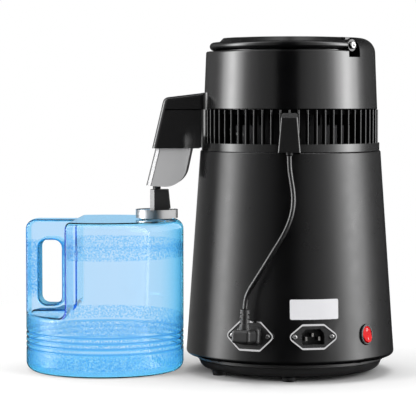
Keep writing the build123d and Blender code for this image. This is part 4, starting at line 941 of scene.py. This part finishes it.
def tent_round(made, place):
    """The tent's level round the object, as a share of its peak."""
    angle = combined(made, "ARCTAN2", place["X"], scaled(made, place["Y"], -1.0))
    ramp = add_node(made, "ShaderNodeValToRGB")
    ramp.color_ramp.interpolation = "EASE"
    stops = ramp.color_ramp.elements
    while len(stops) < len(TENT_LEVELS):
        stops.new(0.5)
    for stop, (azimuth, level) in zip(stops, TENT_LEVELS):
        stop.position = (azimuth + 180.0) / 360.0
        stop.color = (*grey(level / TENT_PEAK), 1.0)
    join(made, spread(made, angle, 0.0, 1.0, -pi, pi), ramp.inputs["Fac"])
    return ramp.outputs["Color"]


def light_tent():
    """Softboxes and dark cards round the object, seen only in reflections."""
    shape = bmesh.new()
    bmesh.ops.create_uvsphere(shape, u_segments=64, v_segments=32, radius=TENT_RADIUS)
    made, glow = emission_only("light_tent")
    place = object_place(made)
    foot = [TENT_RADIUS * sin(radians(elevation)) for elevation in TENT_FOOT]
    head = [TENT_RADIUS * sin(radians(elevation)) for elevation in TENT_HEAD]
    rise = times(
        made,
        spread(made, place["Z"], 0.0, 1.0, *foot),
        spread(made, place["Z"], 1.0, TENT_CEILING, *head),
    )
    level = times(made, tent_round(made, place), rise)
    join(made, scaled(made, level, TENT_PEAK), glow.inputs["Strength"])
    only_reflected("light_tent", shape, made, (boiler_axis.x, 0.0, TENT_HEIGHT))


def reflected_card(name, corners, colour):
    """A card that shows in reflections from its front alone, with its material and shader returned."""
    shape = bmesh.new()
    shape.faces.new([shape.verts.new(corner) for corner in corners])
    made, glow = emission_only(name)
    glow.inputs["Color"].default_value = (*colour, 1.0)
    behind = add_node(made, "ShaderNodeNewGeometry").outputs["Backfacing"]
    clear = add_node(made, "ShaderNodeBsdfTransparent").outputs["BSDF"]
    to_surface(made, mixed(made, behind, glow.outputs["Emission"], clear))
    only_reflected(name, shape, made)
    return made, glow


def jug_card():
    """A pale card behind the jug, for the shine on its flat top."""
    left, right = (jug_axis.x + aside for aside in JUG_CARD_SPAN)
    y = JUG_CARD_BACK
    bottom, top = JUG_CARD_HEIGHTS
    corners = [(left, y, bottom), (right, y, bottom), (right, y, top), (left, y, top)]
    reflected_card("jug_card", corners, JUG_CARD_COLOUR)


def band_card():
    """A white card between the boiler and the jug's cap, for the shine on the cap's band."""
    low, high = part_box("cap_band")
    centre = middle("cap_band")
    x = centre.x + BAND_CARD_ASIDE
    front, back = (centre.y + along for along in BAND_CARD_SPAN)
    bottom = low.z - BAND_CARD_MARGIN
    top = high.z + BAND_CARD_MARGIN
    corners = [(x, back, bottom), (x, front, bottom), (x, front, top), (x, back, top)]
    reflected_card("band_card", corners, grey(BAND_CARD_LEVEL))


def shell_card():
    """A card beside the jug, dim towards the back, so that the shell doesn't mirror the jug's blue."""
    shell_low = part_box("body_shell")[0]
    x = (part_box("jug_bottle")[1].x + shell_low.x) / 2
    front, back = SHELL_CARD_SPAN
    bottom = shell_low.z - SHELL_CARD_DROP
    top = SHELL_CARD_TOP
    corners = [(x, front, bottom), (x, back, bottom), (x, back, top), (x, front + SHELL_CARD_LEAN, top)]
    made, glow = reflected_card("shell_card", corners, WHITE)
    place = object_place(made)
    lean = spread(made, place["Z"], 0.0, -SHELL_CARD_LEAN, bottom, top)
    upright = combined(made, "ADD", place["Y"], lean)
    level = spread(made, upright, *SHELL_CARD_LEVELS, front, SHELL_CARD_FADE)
    join(made, level, glow.inputs["Strength"])


def make_floor():
    """White floor that keeps the object's shadow and fades into the background."""
    shape = bmesh.new()
    bmesh.ops.create_circle(shape, cap_ends=True, segments=96, radius=FLOOR_RADIUS)
    made, glow = emission_only("floor")
    paint = add_node(made, "ShaderNodeBsdfDiffuse")
    paint.inputs["Color"].default_value = (*grey(FLOOR_LEVEL), 1.0)
    place = add_node(made, "ShaderNodeTexCoord")
    distance = add_node(made, "ShaderNodeVectorMath", operation="LENGTH")
    join(made, place.outputs["Object"], distance.inputs[0])
    far = spread(made, distance.outputs["Value"], 0.0, 1.0, *FLOOR_FADE)
    path = add_node(made, "ShaderNodeLightPath").outputs
    plain = larger(made, times(made, far, path["Is Camera Ray"]), path["Is Transmission Ray"])
    to_surface(made, mixed(made, plain, paint.outputs["BSDF"], glow.outputs["Emission"]))
    floor = bpy.data.objects.new("floor", mesh_from("floor", shape, made))
    scene.collection.objects.link(floor)
    floor.visible_glossy = False


def make_world():
    """Soft even light, with a white background for the camera, reflections and clear plastic."""
    world = bpy.data.worlds.new("studio")
    world.use_nodes = True
    scene.world = world
    light = world.node_tree.nodes["Background"]
    plain = add_node(world, "ShaderNodeBackground")
    for background, strength in ((light, WORLD_LIGHT), (plain, 1.0)):
        background.inputs["Color"].default_value = (*WHITE, 1.0)
        background.inputs["Strength"].default_value = strength
    path = add_node(world, "ShaderNodeLightPath").outputs
    seen = larger(world, path["Is Camera Ray"], path["Is Glossy Ray"])
    seen = larger(world, seen, path["Is Transmission Ray"])
    shown = mixed(world, seen, light.outputs["Background"], plain.outputs["Background"])
    join(world, shown, world.node_tree.nodes["World Output"].inputs["Surface"])


def softbox(name, place, size, power):
    """A large area lamp that points at the object."""
    data = bpy.data.lights.new(name, "AREA")
    data.shape = "RECTANGLE"
    data.size, data.size_y = size
    data.energy = power
    lamp = bpy.data.objects.new(name, data)
    lamp.location = place
    aim = Vector(SOFTBOX_AIM) - Vector(place)
    lamp.rotation_euler = aim.to_track_quat("-Z", "Y").to_euler()
    lamp.visible_glossy = False
    scene.collection.objects.link(lamp)


make_camera()
light_tent()
jug_card()
band_card()
shell_card()
make_floor()
make_world()
for name, (place, size, power) in SOFTBOXES.items():
    softbox(name, place, size, power)
# The jug's blue stays off the floor round it, where the photograph's shadow is a neutral grey
nodes["jug_bottle"].visible_diffuse = False
scene.view_settings.view_transform = "Standard"
